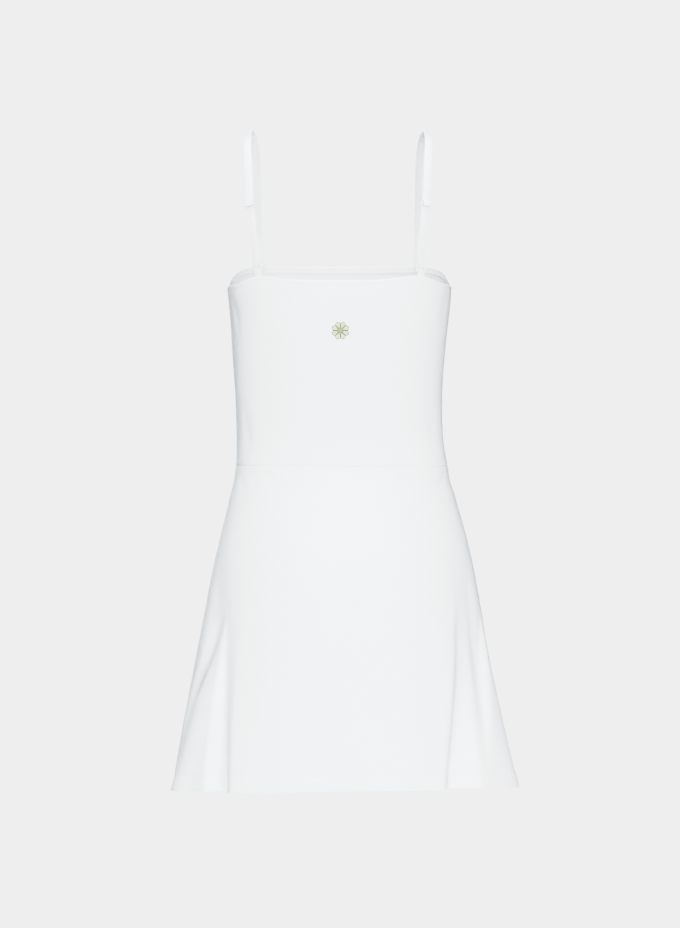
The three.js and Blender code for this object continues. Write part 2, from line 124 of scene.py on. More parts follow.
# Soft creases: turn and drop at each end, sideways bow, reach out at the middle (in, if negative), and how
# far it spreads to its two sides
CREASES = (
    # back, under the waist seam on the left
    (199, 436, 214, 462, 3, -0.8, 5, 8),
    (206, 428, 226, 446, 2, -0.9, 4, 6),
    (215, 430, 238, 441, 2, -0.5, 4, 7),
    # back, under the waist seam on the right
    (344, 431, 326, 458, -3, -1.2, 6, 4),
    (333, 428, 315, 444, -2, -0.7, 6, 4),
    (305, 446, 299, 474, 2, 0.6, 7, 6),
    # back, where the bodice hollows above the waist
    (206, 340, 209, 416, 3, -1.1, 9, 12),
    (334, 345, 330, 416, -3, -0.9, 12, 9),
    (222, 392, 214, 421, 2, -0.5, 6, 6),
    # back, drag below the straps and the underarm corners
    (238, 198, 247, 236, 2, -0.7, 7, 9),
    (303, 198, 296, 232, -2, -0.6, 9, 7),
    (196, 204, 205, 262, 4, -1.0, 8, 8),
    (344, 204, 336, 258, -4, -0.9, 8, 8),
    # back, where the hips turn away on both sides, and the left edge of the outer lobe on the right
    (203, 530, 209, 720, 0, -6, 22, 42),
    (337, 530, 334, 720, 0, -6, 44, 20),
    (350, 596, 322, 800, 0, -9, 34, 6),
    # back, long soft falls of the skirt between its flutes
    (243, 600, 241, 800, 4, 1.6, 16, 20),
    (256, 690, 254, 826, 2, -1.0, 12, 12),
    (288, 640, 292, 812, -3, 1.3, 18, 16),
    (299, 720, 300, 820, 2, -1.0, 8, 10),
    # front, under the waist seam
    (17, 436, 34, 460, 3, -1.2, 5, 6),
    (30, 428, 48, 445, 2, -0.7, 4, 6),
    (160, 434, 143, 459, -3, -1.3, 6, 5),
    (148, 428, 130, 443, -2, -0.6, 6, 4),
    # front, hollow above the waist and fullness over the bust
    (26, 345, 30, 414, -3, -1.0, 11, 9),
    (152, 340, 148, 416, 3, -1.1, 9, 11),
    (20, 206, 32, 262, 4, -1.1, 8, 9),
    (161, 208, 148, 258, -4, -1.0, 9, 8),
    (58, 176, 66, 214, 3, -0.7, 8, 8),
    (123, 176, 113, 211, -3, -0.6, 8, 8),
    # front, long soft falls
    (72, 600, 70, 800, 4, 1.6, 18, 20),
    (108, 630, 112, 806, -4, 1.4, 20, 17),
    (62, 700, 60, 815, 2, -0.9, 10, 9),
    # sides, short drags from the waist
    (186, 440, 190, 500, 2, -0.9, 6, 6),
    (353, 444, 349, 498, -2, -0.8, 6, 6),
    (6, 438, 12, 494, 2, -0.9, 6, 6),
    (173, 442, 168, 502, -2, -0.8, 6, 6),
)

# The right strap's middle line, from front to back: x, y, z, turn of its width towards the back, fall of it
STRAP_LINE = (
    (103, 76, -122, 28, 0),
    (103.5, 63, -74, 24, 3),
    (104.5, 44, -32, 14, 12),
    (107.5, 23, -8, 4, 22),
    (112, 0, 0.5, 0, 26),
    (114.5, -23, -8, -4, 22),
    (113.5, -43, -34, -10, 12),
    (111.8, -59, -78, -18, 4),
    (108.6, -66.5, -112, -25, 0),
    (105.9, -70.5, -138, -32, 0),
    (103.6, -71.8, -160, -37, 0),
)
STRAP_SHIFT = -2.5  # of both straps, to the left
STRAP_TURN = {"back": 45.5, "front": 46}  # from the side seam to the strap's end
STRAP_INSIDE = {"back": 3.5, "front": 2.5}  # from the cloth's outer face to the sewn end
SEWN_DEPTH = 12  # from the top edge down to the strap's end
RING_ABOVE_EDGE = 10
SLIDER_ABOVE_RING = 82
HALF_STRAP = 0.5  # half the elastic's thickness
CLEARANCE = 0.3  # between the elastic and the hardware
LAYER = 1.3  # from one layer of a strap to the next
SLIDER = {"width": 14, "bar": 1.2, "middle": 1.4, "slot": 2.9, "plate": 1.4, "corner": 1.6, "inside": 0.5}
RING = {"width": 14, "height": 9, "bar": 1.6, "corner": 2.2, "inside": 0.7}
RING_ROUNDING = 1.6  # of its edges, as a share of the slider's
SLIDER_OUT = SLIDER["plate"] / 2 + CLEARANCE + HALF_STRAP
RING_OUT = -LAYER / 2
RING_LOOP = RING["bar"] / 2 + CLEARANCE + HALF_STRAP

# Distances of the mesh rows from a top edge, the waist seam and a hem. Beside a side seam the columns are
# spaced as the rows are beside the waist seam.
TOP_ROWS = (0, 0.6, 1.4, 2.6, 3.9, 5.0, 5.7, 6.2, 6.6, 6.9, 7.3, 7.8, 8.2, 8.6, 9.6, 11.4)
SEAM_STEPS = (0, 0.4, 0.9, 1.5, 2.3, 3.4, 5.0, 7.2)
HEM_ROWS = (
    0, 0.6, 1.5, 3, 5.2, 8, 11, 14, 16, 17.2, 17.8, 18.2, 18.6, 19.1, 19.8,
    20.6, 21.1, 21.5, 21.9, 22.4, 22.8, 23.2, 24.2, 26,
)
SEAM_EDGE = 0.16  # rounding of a panel's edge where it is seamed
SEAM_GAP = 0.06  # from a seam's line to the edge of each panel
TURNED_LAYER = 0.85  # thickness of a layer that is turned in and pressed, as a share of one layer
TOP_TURNED_IN = (7.1, 10.3)  # from the top edge, where the turned layer thins and where it ends
HEM_TURNED_IN = (22.9, 23.5)  # the same from the hem
# A drop near the middle of a panel, and roughly the panel's width there
BODICE_MIDDLE, SKIRT_MIDDLE = (300, 430), (640, 560)

HALF_HEM = 9  # from the hem to the middle of its turned part

# Heights of the low relief in the sewn cloth
SEAM_PUCKER, WAIST_PUCKER, EDGE_PUCKER, HEM_PUCKER = 0.28, 0.34, 0.13, 0.17
EDGE_STITCH_DIP, HEM_STITCH_DIP = 0.22, 0.20
TURNED_EDGE_SWELL, TURNED_HEM_SWELL, HEM_ROWS_SWELL = 0.16, 0.22, 0.12
HEM_WAVE, BROAD_WAVES, SMALL_WAVES = 0.30, 0.30, 0.10

# Seam allowances. The waist's reaches below and above its seam. A side seam's lies between two distances
# from its seam, and between two drops. Overlock thread runs at one distance from both, inside the cloth.
WAIST_ALLOWANCE_BELOW, WAIST_ALLOWANCE_ABOVE = 0.9, 7.2
SIDE_ALLOWANCE = (0.15, 6.8)
OVERLOCK_ROW, OVERLOCK_INSIDE = 3.6, 1.75
SIDE_ALLOWANCE_DROPS = {"bodice": (206.5, WAIST - 8.6), "skirt": (WAIST + 2.2, 803.5)}
# Once round the cross-section of an allowance: depth inside the cloth, share of the way across
ALLOWANCE_SECTION = (
    (0.06, 0.04), (0.06, 0.3), (0.06, 0.7), (0.06, 0.96), (0.5, 1.0), (1.1, 1.0),
    (1.55, 0.96), (1.55, 0.7), (1.55, 0.3), (1.55, 0.04), (1.1, 0.0), (0.5, 0.0),
)

# Tacks on the top edges: the middle one's two turns, half the spread of the others, and how far the back's
# left one sits aside from its strap
MIDDLE_TACK, HALF_TACK, LEFT_TACK_ASIDE = (269.3, 272.9), 2.1, 4

# How far the flower's threads stand out from the cloth
PETAL_LIFT, OUTLINE_LIFT, CENTRE_LIFT = 0.16, 0.26, 0.42
FLOWER_ASIDE = 0.5  # from the back's middle to the right
CENTRE_RINGS = (0.55, 1.5, 2.45)  # radii of the rings of stitches in the flower's centre

# Spacings in metres of the elastic's picks and of a thread's plies
PICK, PLY = 0.00062, 0.00034

# The photograph's camera: lens and sensor width in millimetres, and its place
LENS, SENSOR_WIDTH, CAMERA_PLACE = 152.7, 36, (0, -5.0, -0.420)
# The studio's lights in metres: place, the point that each faces, and its width
LIGHTS = {
    "key": ((0.75, -4.6, 0.55), (0.0, 0.0, -0.45), 3.0),
    "back": ((-0.9, 4.6, 0.6), (0.0, 0.0, -0.45), 3.0),
    "top": ((-0.35, -0.75, 2.4), (0.0, 0.0, -0.15), 2.2),
}
LIGHT_COLOUR, FILL_COLOUR = (0.95, 0.98, 1.0), (1.0, 0.985, 0.968)
FLOOR_RADIUS, FLOOR_FADES_FROM, FLOOR_FADES_OVER = 2.6, 1.1, 1.4
TONE_CURVE = ((0.2, 0.29), (0.41, 0.56), (0.5, 0.70), (0.6, 0.785), (0.72, 0.842), (0.86, 0.872))
BRIGHTEST = 0.912


def smooth_curve(at, value, x):
    """A smooth curve through rising places."""
    last = len(at) - 1
    before = np.maximum(np.arange(last + 1) - 1, 0)
    after = np.minimum(np.arange(last + 1) + 1, last)
    slope = (value[after] - value[before]) / (at[after] - at[before])
    i = np.clip(np.searchsorted(at, x, side="left") - 1, 0, last - 1)
    step = at[i + 1] - at[i]
    t = np.clip((x - at[i]) / step, 0, 1)
    rise = t * t * (3 - 2 * t)
    bend = step * t * (1 - t) * ((1 - t) * slope[i] - t * slope[i + 1])
    return value[i] + (value[i + 1] - value[i]) * rise + bend


def in_mm(metres):
    return metres * 1000


def power(value, exponent):
    """A power that keeps the sign of what it is taken of."""
    return np.sign(value) * np.abs(value) ** exponent


def smooth_step(low, high, x):
    """From 0 at the low place to 1 at the high one."""
    t = np.clip((x - low) / (high - low), 0, 1)
    return t * t * (3 - 2 * t)


def hump(away, spread):
    """1 at a line and less on both sides of it."""
    return np.exp(-((away / spread) ** 2))


def fading(away, reach):
    """1 at a line and less with the distance from it."""
    return np.exp(-away / reach)


def waver(x, wavelength, seed, count=997):
    """A smooth random line from -1 to 1, the same on each run."""
    knots = np.random.default_rng(seed).uniform(-1, 1, count)
    place = np.asarray(x, float) / wavelength
    i = np.floor(place).astype(int)
    t = smooth_step(0, 1, place - i)
    return knots[i % count] * (1 - t) + knots[(i + 1) % count] * t


def ripple(x, y, wavelength, seed, count=61):
    """A smooth random surface from -1 to 1, the same on each run."""
    knots = np.random.default_rng(seed).uniform(-1, 1, (count, count))
    px, py = np.asarray(x, float) / wavelength, np.asarray(y, float) / wavelength
    i, j = np.floor(px).astype(int), np.floor(py).astype(int)
    s, t = smooth_step(0, 1, px - i), smooth_step(0, 1, py - j)
    i, j, after_i, after_j = i % count, j % count, (i + 1) % count, (j + 1) % count
    low = knots[i, j] * (1 - s) + knots[after_i, j] * s
    high = knots[i, after_j] * (1 - s) + knots[after_i, after_j] * s
    return low * (1 - t) + high * t


def section(column, drop):
    """One measure of the body at a drop."""
    return smooth_curve(SECTIONS[:, 0], SECTIONS[:, column], drop)


def depth_at(turn, drop):
    """Depth of the body on the side that the turn is on."""
    return np.where(np.sin(np.radians(turn)) < 0, section(BEHIND, drop), section(IN_FRONT, drop))


def round_per_degree(drop):
    """Roughly how many millimetres round the body one degree takes up."""
    return 2.1 + 0.00325 * max(drop - WAIST, 0)


def turn_from(start, turn):
    """The turn from one place to another, the shorter way round."""
    return (turn - start + 180) % 360 - 180


def flute_reach(turn, drop):
    """How far the skirt's flutes bring the cloth out."""
    total = np.zeros(np.broadcast(turn, drop).shape)
    for start, hem, reach, before, after, top in FLUTES:
        down = np.clip((drop - top) / (LOWEST - top), 0, None)
        middle = start + (hem - start) * np.minimum(down, 1)
        away = turn_from(middle, turn)
        across = np.clip(away / np.where(away < 0, before, after), -1, 1)
        total += reach * down ** FLUTE_GROWTH * 0.5 * (1 + np.cos(np.pi * across))
    return total


def crease_reach(turn, drop):
    """How far the creases bring the cloth out, or in where it is negative."""
    total = np.zeros(np.broadcast(turn, drop).shape)
    for turn_a, drop_a, turn_b, drop_b, bow, reach, before, after in CREASES:
        scale = round_per_degree((drop_a + drop_b) / 2)
        ends = np.array([(turn_b - turn_a) * scale, drop_b - drop_a], float)
        length = np.hypot(*ends)
        way = ends / length
        x = turn_from(turn_a, turn) * scale
        y = drop - drop_a
        along = (x * way[0] + y * way[1]) / length
        inside = np.clip(along, 0, 1)
        side = x * way[1] - y * way[0] - bow * 4 * inside * (1 - inside)
        spread = np.where(side < 0, before, after)
        fade = np.sin(np.pi * inside) ** 1.3 * ((along > 0) & (along < 1))
        total += reach * fade * hump(side, spread)
    return total


def skin(turn, drop):
    """Points on the outer face of the dress, before seams and stitching."""
    turn, drop = np.broadcast_arrays(np.asarray(turn, float), np.asarray(drop, float))
    c, s = np.cos(np.radians(turn)), np.sin(np.radians(turn))
    half, deep = section(HALF, drop), depth_at(turn, drop)
    x, y = power(c, 2 / SQUARENESS), power(s, 2 / SQUARENESS)
    out_x, out_y = power(x, SQUARENESS - 1) / half, power(y, SQUARENESS - 1) / deep
    size = np.hypot(out_x, out_y)
    out = flute_reach(turn, drop) + crease_reach(turn, drop)
    return np.stack([
        section(LEAN, drop) + x * half + out_x / size * out,
        y * deep + out_y / size * out,
        -drop,
    ], axis=-1)


def unit(vectors):
    return vectors / np.linalg.norm(vectors, axis=-1, keepdims=True)


def skin_ways(turn, drop):
    """The outward and the downward directions of the skin."""
    round_way = skin(turn + 0.4, drop) - skin(turn - 0.4, drop)
    down_way = skin(turn, drop + 0.8) - skin(turn, drop - 0.8)
    return unit(np.cross(down_way, round_way)), unit(down_way)


def seam_distance(turn, drop):
    """How far round a place is from the nearer side seam, close to it."""
    return depth_at(turn, drop) * np.abs(np.sin(np.radians(turn))) ** (2 / SQUARENESS)


def turn_near_seam(seam, towards, drop, distance):
    """The turn at a distance from a side seam, where towards is 1 or -1, the way that the turn changes."""
    deep = depth_at(seam + towards * 5, drop)
    return seam + towards * np.degrees(np.arcsin((distance / deep) ** (SQUARENESS / 2)))


def turn_on_back(x, drop):
    """The turn on the back panel for a place this far to the right of the middle."""
    share = np.clip((x - section(LEAN, drop)) / section(HALF, drop), -1, 1)
    return 360 - np.degrees(np.arccos(power(share, SQUARENESS / 2)))


class Panel:
    """One panel of cloth between the side seams."""

    def __init__(self, name, start, sizes):
        self.name, self.start, self.sizes = name, start, sizes
        self.is_bodice = name.startswith("bodice")
        self.seed = sum(map(ord, name))
        self.edge, self.hem = (FRONT_EDGE, FRONT_HEM) if start == 0 else (BACK_EDGE, BACK_HEM)
        self.middle_drop, self.width = BODICE_MIDDLE if self.is_bodice else SKIRT_MIDDLE

    def top(self, turn):
        if self.is_bodice:
            return smooth_curve(self.edge[:, 0], self.edge[:, 1], turn)
        return np.full(np.shape(turn), WAIST + SEAM_GAP)

    def bottom(self, turn):
        if self.is_bodice:
            return np.full(np.shape(turn), WAIST - SEAM_GAP)
        return smooth_curve(self.hem[:, 0], self.hem[:, 1], turn)

    def relief(self, turn, drop):
        """Low outward relief of the sewn cloth: seams, stitch lines, puckers and a slight unevenness."""
        sizes = self.sizes
        turn, drop = np.broadcast_arrays(np.asarray(turn, float), np.asarray(drop, float))
        around = turn * round_per_degree(self.middle_drop)
        seam, waist = seam_distance(turn, drop), np.abs(drop - WAIST)
        out = -in_mm(sizes.seam_dip) * hump(seam, spread=1.4)
        out += SEAM_PUCKER * waver(drop, 11, self.seed) * fading(seam, reach=8)
        sideways = np.abs(np.cos(np.radians(turn))) ** 0.6
        out -= in_mm(sizes.waist_dip) * hump(waist, spread=1.3) * (0.2 + 0.8 * sideways)
        pucker = waver(around, 9, self.seed + 1)
        out += WAIST_PUCKER * pucker * fading(waist, reach=7) * smooth_step(0, 2, waist)
        out += BROAD_WAVES * ripple(around, drop, 46, 7) + SMALL_WAVES * ripple(around, drop, 17, 8)
        if self.is_bodice:
            from_edge = drop - self.top(turn)
            stitch = in_mm(sizes.top_stitch)
            out -= EDGE_STITCH_DIP * hump(from_edge - stitch, spread=0.6)
            out += TURNED_EDGE_SWELL * hump(from_edge - stitch * 0.45, spread=2.4)
            pucker = waver(around, 4.5, self.seed + 2)
            out += EDGE_PUCKER * pucker * fading(np.abs(from_edge - stitch), reach=3.5)
        else:
            from_hem = self.bottom(turn) - drop
            low, high = self.hem_rows()
            for row in (low, high):
                out -= HEM_STITCH_DIP * hump(from_hem - row, spread=0.55)
            out += HEM_ROWS_SWELL * hump(from_hem - (low + high) / 2, spread=1.0)
            out += TURNED_HEM_SWELL * hump(from_hem - HALF_HEM, spread=6.5)
            pucker = waver(around, 6, self.seed + 3)
            out += HEM_PUCKER * pucker * fading(np.abs(from_hem - high), reach=5)
            out += HEM_WAVE * waver(around, 23, self.seed + 4) * fading(from_hem, reach=14)
        return out

    def hem_rows(self):
        """How far the two stitch lines of the hem are from it."""
        hem, apart = in_mm(self.sizes.hem_stitch), in_mm(self.sizes.hem_row_gap)
        return hem, hem + apart

    def thickness(self, turn, drop):
        """One layer of jersey, or two where an edge is turned in."""
        cloth = in_mm(self.sizes.cloth)
        if self.is_bodice:
            doubled = 1 - smooth_step(*TOP_TURNED_IN, drop - self.top(turn))
        else:
            doubled = 1 - smooth_step(*HEM_TURNED_IN, self.bottom(turn) - drop)
        return cloth * (1 + TURNED_LAYER * doubled)

    def face(self, turn, drop, inwards=0.0):
        """Points on the panel's outer face, or inside it, with the outward direction there."""
        normal, _ = skin_ways(turn, drop)
        return skin(turn, drop) + normal * (self.relief(turn, drop) - inwards)[..., None], normal

    def inner_face(self, turn, drop, inwards=0.0):
        return self.face(turn, drop, self.thickness(turn, drop) + inwards)

    def grid(self):
        """Turns and drops of the panel's mesh, rows running down."""
        first, last = (TOP_ROWS, SEAM_STEPS) if self.is_bodice else (SEAM_STEPS, HEM_ROWS)
        nominal = np.linspace(self.start, self.start + 180, 400)
        top, bottom = self.top(nominal).mean(), self.bottom(nominal).mean()
        step = in_mm(self.sizes.row_step)
        middle = round((bottom - top - first[-1] - last[-1]) / step)
        shares = np.linspace(0, 1, middle + 1)[1:-1]
        plan = [("first", d) for d in first] + [("middle", s) for s in shares]
        plan += [("last", d) for d in reversed(last)]
        head_radius, foot_radius = self.roll_radius()

        def place(kind, value, start, end):
            """The drop of one row, where the panel starts and ends at two other drops."""
            low, high = start + first[-1], end - last[-1]
            return {"first": start + value, "middle": low + value * (high - low), "last": end - value}[kind]

        turns, drops = [], []
        for row in plan:
            turn = self.columns_at(place(*row, top, bottom), round(self.width / step))
            turns.append(turn)
            drops.append(place(*row, self.top(turn) + head_radius, self.bottom(turn) - foot_radius))
        return np.array(turns), np.array(drops)

    def columns_at(self, level, columns):
        """Turns evenly spaced round one level, closer together beside the seams."""
        dense = np.linspace(self.start, self.start + 180, 721)
        x = power(np.cos(np.radians(dense)), 2 / SQUARENESS) * section(HALF, level)
        y = power(np.sin(np.radians(dense)), 2 / SQUARENESS) * depth_at(self.start + 90, level)
        length = np.concatenate([[0], np.cumsum(np.hypot(np.diff(x), np.diff(y)))])
        near = np.array(SEAM_STEPS) + SEAM_GAP
        inner = np.linspace(near[-1], length[-1] - near[-1], columns)[1:-1]
        places = np.concatenate([near, inner, length[-1] - near[::-1]])
        return np.interp(places, length, dense)

    def roll_radius(self):
        """Rounding of the panel's upper and lower edge, nearly half its thickness where it is turned in."""
        turned = in_mm(self.sizes.cloth) * (1 + TURNED_LAYER) * 0.49
        return (turned, SEAM_EDGE) if self.is_bodice else (SEAM_EDGE, turned)

    def build(self):
        """The panel as one closed shell with rolled edges."""
        turns, drops = self.grid()
        normal, down = skin_ways(turns, drops)
        outer = skin(turns, drops) + normal * self.relief(turns, drops)[..., None]
        thick = self.thickness(turns, drops)[..., None]
        inner = outer - normal * thick
        rows = len(turns)

        def roll(row, way, radius):
            """Points round an edge from the outer to the inner face."""
            out = normal[row]
            near, far = outer[row] - out * radius, inner[row] + out * radius
            return [
                centre + radius * (out * math.cos(angle) + way * math.sin(angle))
                for centre, turned in ((near, (0.33, 0.67, 1.0)), (far, (1.0, 1.33, 1.67)))
                for angle in (math.pi / 2 * share for share in turned)
            ]

        head_radius, foot_radius = self.roll_radius()
        foot, head = roll(-1, down[-1], foot_radius), roll(0, -down[0], head_radius)
        loop = np.array([*outer, *foot, *inner[::-1], *head[::-1]])
        rolled = len(foot)
        count, columns = len(loop), loop.shape[1]
        index = np.arange(count * columns).reshape(count, columns)
        following = np.roll(index, -1, axis=0)
        faces = np.stack(
            [index[:, :-1], following[:, :-1], following[:, 1:], index[:, 1:]], axis=-1
        ).reshape(-1, 4).tolist()
        first_inner = rows + rolled
        # the two ends at the side seams
        for column, outwards in ((0, False), (columns - 1, True)):
            cap = []
            for r in range(rows - 1):
                a, b = index[r, column], index[r + 1, column]
                back = first_inner + rows - 1 - r
                cap.append([a, b, index[back - 1, column], index[back, column]])
            cap.append([index[k, column] for k in range(rows - 1, first_inner + 1)])
            cap.append([index[k % count, column] for k in range(first_inner + rows - 1, count + 1)])
            faces += [face if outwards else face[::-1] for face in cap]
        # the cloth laid flat for its pattern, and how far each point is on the reverse
        steps = np.linalg.norm(np.diff(outer, axis=1), axis=-1)
        along = np.concatenate([np.zeros((rows, 1)), np.cumsum(steps, axis=1)], axis=1)
        along -= along[:, [along.shape[1] // 2]]
        u = np.array([*along, *[along[-1]] * rolled, *along[::-1], *[along[0]] * rolled])
        v = np.array([*-drops, *[-drops[-1]] * rolled, *-drops[::-1], *[-drops[0]] * rolled])
        side = np.zeros((count, columns))
        side[first_inner:first_inner + rows] = 1
        side[rows:first_inner] = np.linspace(0, 1, rolled + 2)[1:-1, None]
        side[first_inner + rows:] = np.linspace(1, 0, rolled + 2)[1:-1, None]
        return make_mesh(
            self.name + "_cloth",
            loop.reshape(-1, 3),
            faces,
            uv=np.stack([u, v], axis=-1).reshape(-1, 2) * MM,
            numbers={"reverse": side.reshape(-1)},
        )


def make_mesh(name, points, faces, edges=(), uv=None, numbers=None, vectors=None):
    """A new object from points in millimetres."""
    mesh = bpy.data.meshes.new(name)
    mesh.from_pydata((np.asarray(points) * MM).tolist(), list(edges), faces)
    for key, values in (numbers or {}).items():
        mesh.attributes.new(key, "FLOAT", "POINT").data.foreach_set("value", np.asarray(values, np.float32))
    for key, values in (vectors or {}).items():
        flat = np.asarray(values, np.float32).reshape(-1)
        mesh.attributes.new(key, "FLOAT_VECTOR", "POINT").data.foreach_set("vector", flat)
    if uv is not None:
        corners = np.zeros(len(mesh.loops), np.int32)
        mesh.loops.foreach_get("vertex_index", corners)
        layer = mesh.uv_layers.new(name="UVMap")
        layer.data.foreach_set("uv", np.asarray(uv, np.float32)[corners].reshape(-1))
    if faces:
        mesh.shade_smooth()
    mesh.validate()
    mesh.update()
    made = bpy.data.objects.new(name, mesh)
    bpy.context.scene.collection.objects.link(made)
    return made


def settle(piece, material, replaces=()):
    """Gives a finished piece its material and its place on the dress."""
    piece.data.materials.clear()
    piece.data.materials.append(material)
    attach(piece, "root")
    if replaces:
        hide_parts(*replaces)
    return piece


def panels(sizes):
    """The four panels of cloth, by name."""
    starts = {"bodice_back": 180, "bodice_front": 0, "skirt_back": 180, "skirt_front": 0}
    return {name: Panel(name, start, sizes) for name, start in starts.items()}


def sewn_strip(name, rows):
    """A closed strip from rows of points, each row going once round its cross-section."""
    rows = np.asarray(rows)
    count, around = rows.shape[:2]
    index = np.arange(count * around).reshape(count, around)
    following = np.roll(index, -1, axis=1)
    faces = np.stack(
        [index[:-1], following[:-1], following[1:], index[1:]], axis=-1
    ).reshape(-1, 4).tolist()
    faces += [index[0][::-1].tolist(), index[-1].tolist()]
    points = rows.reshape(-1, 3)
    middle = rows.mean(axis=1)
    steps = np.linalg.norm(np.diff(middle, axis=0), axis=1)
    along = np.concatenate([[0], np.cumsum(steps)])
    width = np.cumsum(np.linalg.norm(rows - np.roll(rows, 1, axis=1), axis=-1), axis=1)
    uv = np.stack([width, np.repeat(along[:, None], around, axis=1)], axis=-1).reshape(-1, 2) * MM
    return make_mesh(name, points, faces, uv=uv, numbers={"reverse": np.ones(len(points))})


# Node trees and materials


class Wire:
    """A socket of a node tree. Sums on it add Math nodes."""

    def __init__(self, graph, socket):
        self.graph, self.socket = graph, socket

    def maths(self, operation, *others):
        return self.graph.node("ShaderNodeMath", {"operation": operation}, dict(enumerate((self, *others))))

    def reflected(self, operation, other):
        return self.graph.node("ShaderNodeMath", {"operation": operation}, {0: other, 1: self})

    def other(self, output):
        """Another output of the same node."""
        return Wire(self.graph, self.socket.node.outputs[output])

    def __add__(self, other):
        return self.maths("ADD", other)

    def __mul__(self, other):
        return self.maths("MULTIPLY", other)

    def __sub__(self, other):
        return self.maths("SUBTRACT", other)

    def __truediv__(self, other):
        return self.maths("DIVIDE", other)

    def __pow__(self, other):
        return self.maths("POWER", other)

    def __rsub__(self, other):
        return self.reflected("SUBTRACT", other)

    def __rtruediv__(self, other):
        return self.reflected("DIVIDE", other)

    __radd__ = __add__
    __rmul__ = __mul__

    def wave(self, rate=math.tau):
        """A sine between 0 and 1, one period long in each unit unless a rate is given."""
        return (self * rate).maths("SINE") * 0.5 + 0.5

    def between(self, low, high):
        return self.maths("MAXIMUM", low).maths("MINIMUM", high)


class Graph:
    """A node tree that is being filled."""

    def __init__(self, tree):
        self.tree = tree

    def node(self, kind, settings=None, values=None, output=0):
        """Adds a node: its settings first, then the values or links of its sockets."""
        made = self.tree.nodes.new(kind)
        for key, value in (settings or {}).items():
            setattr(made, key, value)
        for key, value in (values or {}).items():
            if isinstance(value, Wire):
                self.tree.links.new(value.socket, made.inputs[key])
            else:
                made.inputs[key].default_value = value
        return Wire(self, made.outputs[output]) if len(made.outputs) else None

    def blend(self, share, first, second):
        """A colour between two others."""
        values = {0: share, 6: self.colour(first), 7: self.colour(second)}
        return self.node("ShaderNodeMix", {"data_type": "RGBA"}, values, output=2)

    @staticmethod
    def colour(value):
        """A colour with its alpha."""
        return value if isinstance(value, Wire) or len(value) == 4 else (*value, 1.0)

    def noise(self, place, scale, detail=2.0, rough=0.5):
        values = {"Vector": place, "Scale": scale, "Detail": detail, "Roughness": rough}
        return self.node("ShaderNodeTexNoise", {}, values)

    def attribute(self, name):
        return self.node("ShaderNodeAttribute", {"attribute_name": name}, {}, output="Fac")

    def place(self):
        return self.node("ShaderNodeTexCoord", {}, {}, output="Object")

    def surface(self, values, height=None, distance=0.0001, strength=0.5):
        """The shader, with its relief."""
        if height is not None:
            relief = {"Strength": strength, "Distance": distance, "Height": height}
            values = {**values, "Normal": self.node("ShaderNodeBump", {}, relief)}
        shader = self.node("ShaderNodeBsdfPrincipled", {}, values)
        self.node("ShaderNodeOutputMaterial", {}, {"Surface": shader})


def darker(colour, share):
    """The same colour with this share of its light."""
    return [c * share for c in colour]


def new_material(name):
    """An empty material and the graph to fill it."""
    made = bpy.data.materials.new(name)
    made.use_nodes = True
    made.node_tree.nodes.clear()
    return made, Graph(made.node_tree)


def jersey_material(cloth):
    """Fine knit: wales down the panel, courses across it, and a colour on the reverse that is partly its own
    and partly painted light, lighter than the face for the shaded inside.
    """
    if "white_jersey" in bpy.data.materials:
        return bpy.data.materials["white_jersey"]
    made, g = new_material("white_jersey")
    uv = g.node("ShaderNodeUVMap", {"uv_map": "UVMap"}, {})
    across = g.node("ShaderNodeSeparateXYZ", {}, {"Vector": uv})
    along = across.other("Y")
    wale = (across / cloth.wale).maths("PINGPONG", 0.5) * 2
    lean = wale * 0.4
    strand = (along / cloth.course + lean).wave()
    fibre = g.noise(uv, 5200, 2.0, 0.6)
    knit = (wale ** 0.6) * 0.55 + strand * wale * 0.35 + fibre * 0.25
    place = g.place()
    cloudy = g.noise(place, 9, 3.0, 0.55)
    uneven = g.noise(uv, 240, 2.0, 0.5)
    face = g.blend(cloudy * 0.6 + uneven * 0.25, cloth.colour, darker(cloth.colour, 0.972))
    # painted shade: darker in the hollows between the knit's loops
    shaded = g.blend((1 - knit).between(0, 1) * 0.10, face, darker(cloth.colour, 0.80))
    # painted light: the reverse has its own colour, made lighter than the face so that the shaded inside of
    # the dress reads brighter
    colour = g.blend(g.attribute("reverse"), shaded, cloth.reverse_colour_with_painted_light)
    g.surface(
        {
            "Base Color": colour,
            "Roughness": 0.80 + fibre * 0.12,
            "Specular IOR Level": 0.18,
            "Sheen Weight": 0.03,
            "Sheen Roughness": 0.5,
        },
        height=knit,
        distance=0.00014,
        strength=0.42,
    )
    return made


def elastic_material(straps):
    """Woven elastic: cords along the strap, fine picks across it, a smooth selvedge on each side."""
    made, g = new_material("strap_elastic")
    across, along = g.attribute("crosswise"), g.attribute("lengthwise")
    cords = (across / straps.rib).wave()
    picks = (along / PICK + cords * 0.25).wave()
    edge = ((across.maths("ABSOLUTE") / (straps.width / 2) - 0.82) * 12).between(0, 1)
    weave = cords * 0.6 + picks * 0.4 * (1 - edge)
    soft = g.noise(g.place(), 60, 3.0, 0.5)
    tone = g.blend(soft * 0.5, straps.colour, darker(straps.colour, 0.95))
    # painted shade: darker in the hollows between the cords and picks
    colour = g.blend((1 - weave) * 0.12 * (1 - edge), tone, darker(straps.colour, 0.62))
    g.surface(
        {
            "Base Color": colour,
            "Roughness": 0.56 + soft * 0.14,
            "Specular IOR Level": 0.28,
            "Sheen Weight": 0.06,
        },
        height=weave,
        distance=0.00006,
        strength=0.18,
    )
    return made


def moulded_material(hardware):
    """White moulded nylon: glossy, with the faint grain of its mould."""
    made, g = new_material("moulded_nylon")
    place = g.place()
    grain, cloud = g.noise(place, 2600, 2.0, 0.55), g.noise(place, 130, 2.0, 0.5)
    colour = g.blend(cloud * 0.5, hardware.colour, darker(hardware.colour, 0.95))
    g.surface(
        {"Base Color": colour, "Roughness": 0.24 + grain * 0.16, "Coat Weight": 0.15},
        height=grain,
        distance=0.00003,
        strength=0.25,
    )
    return made


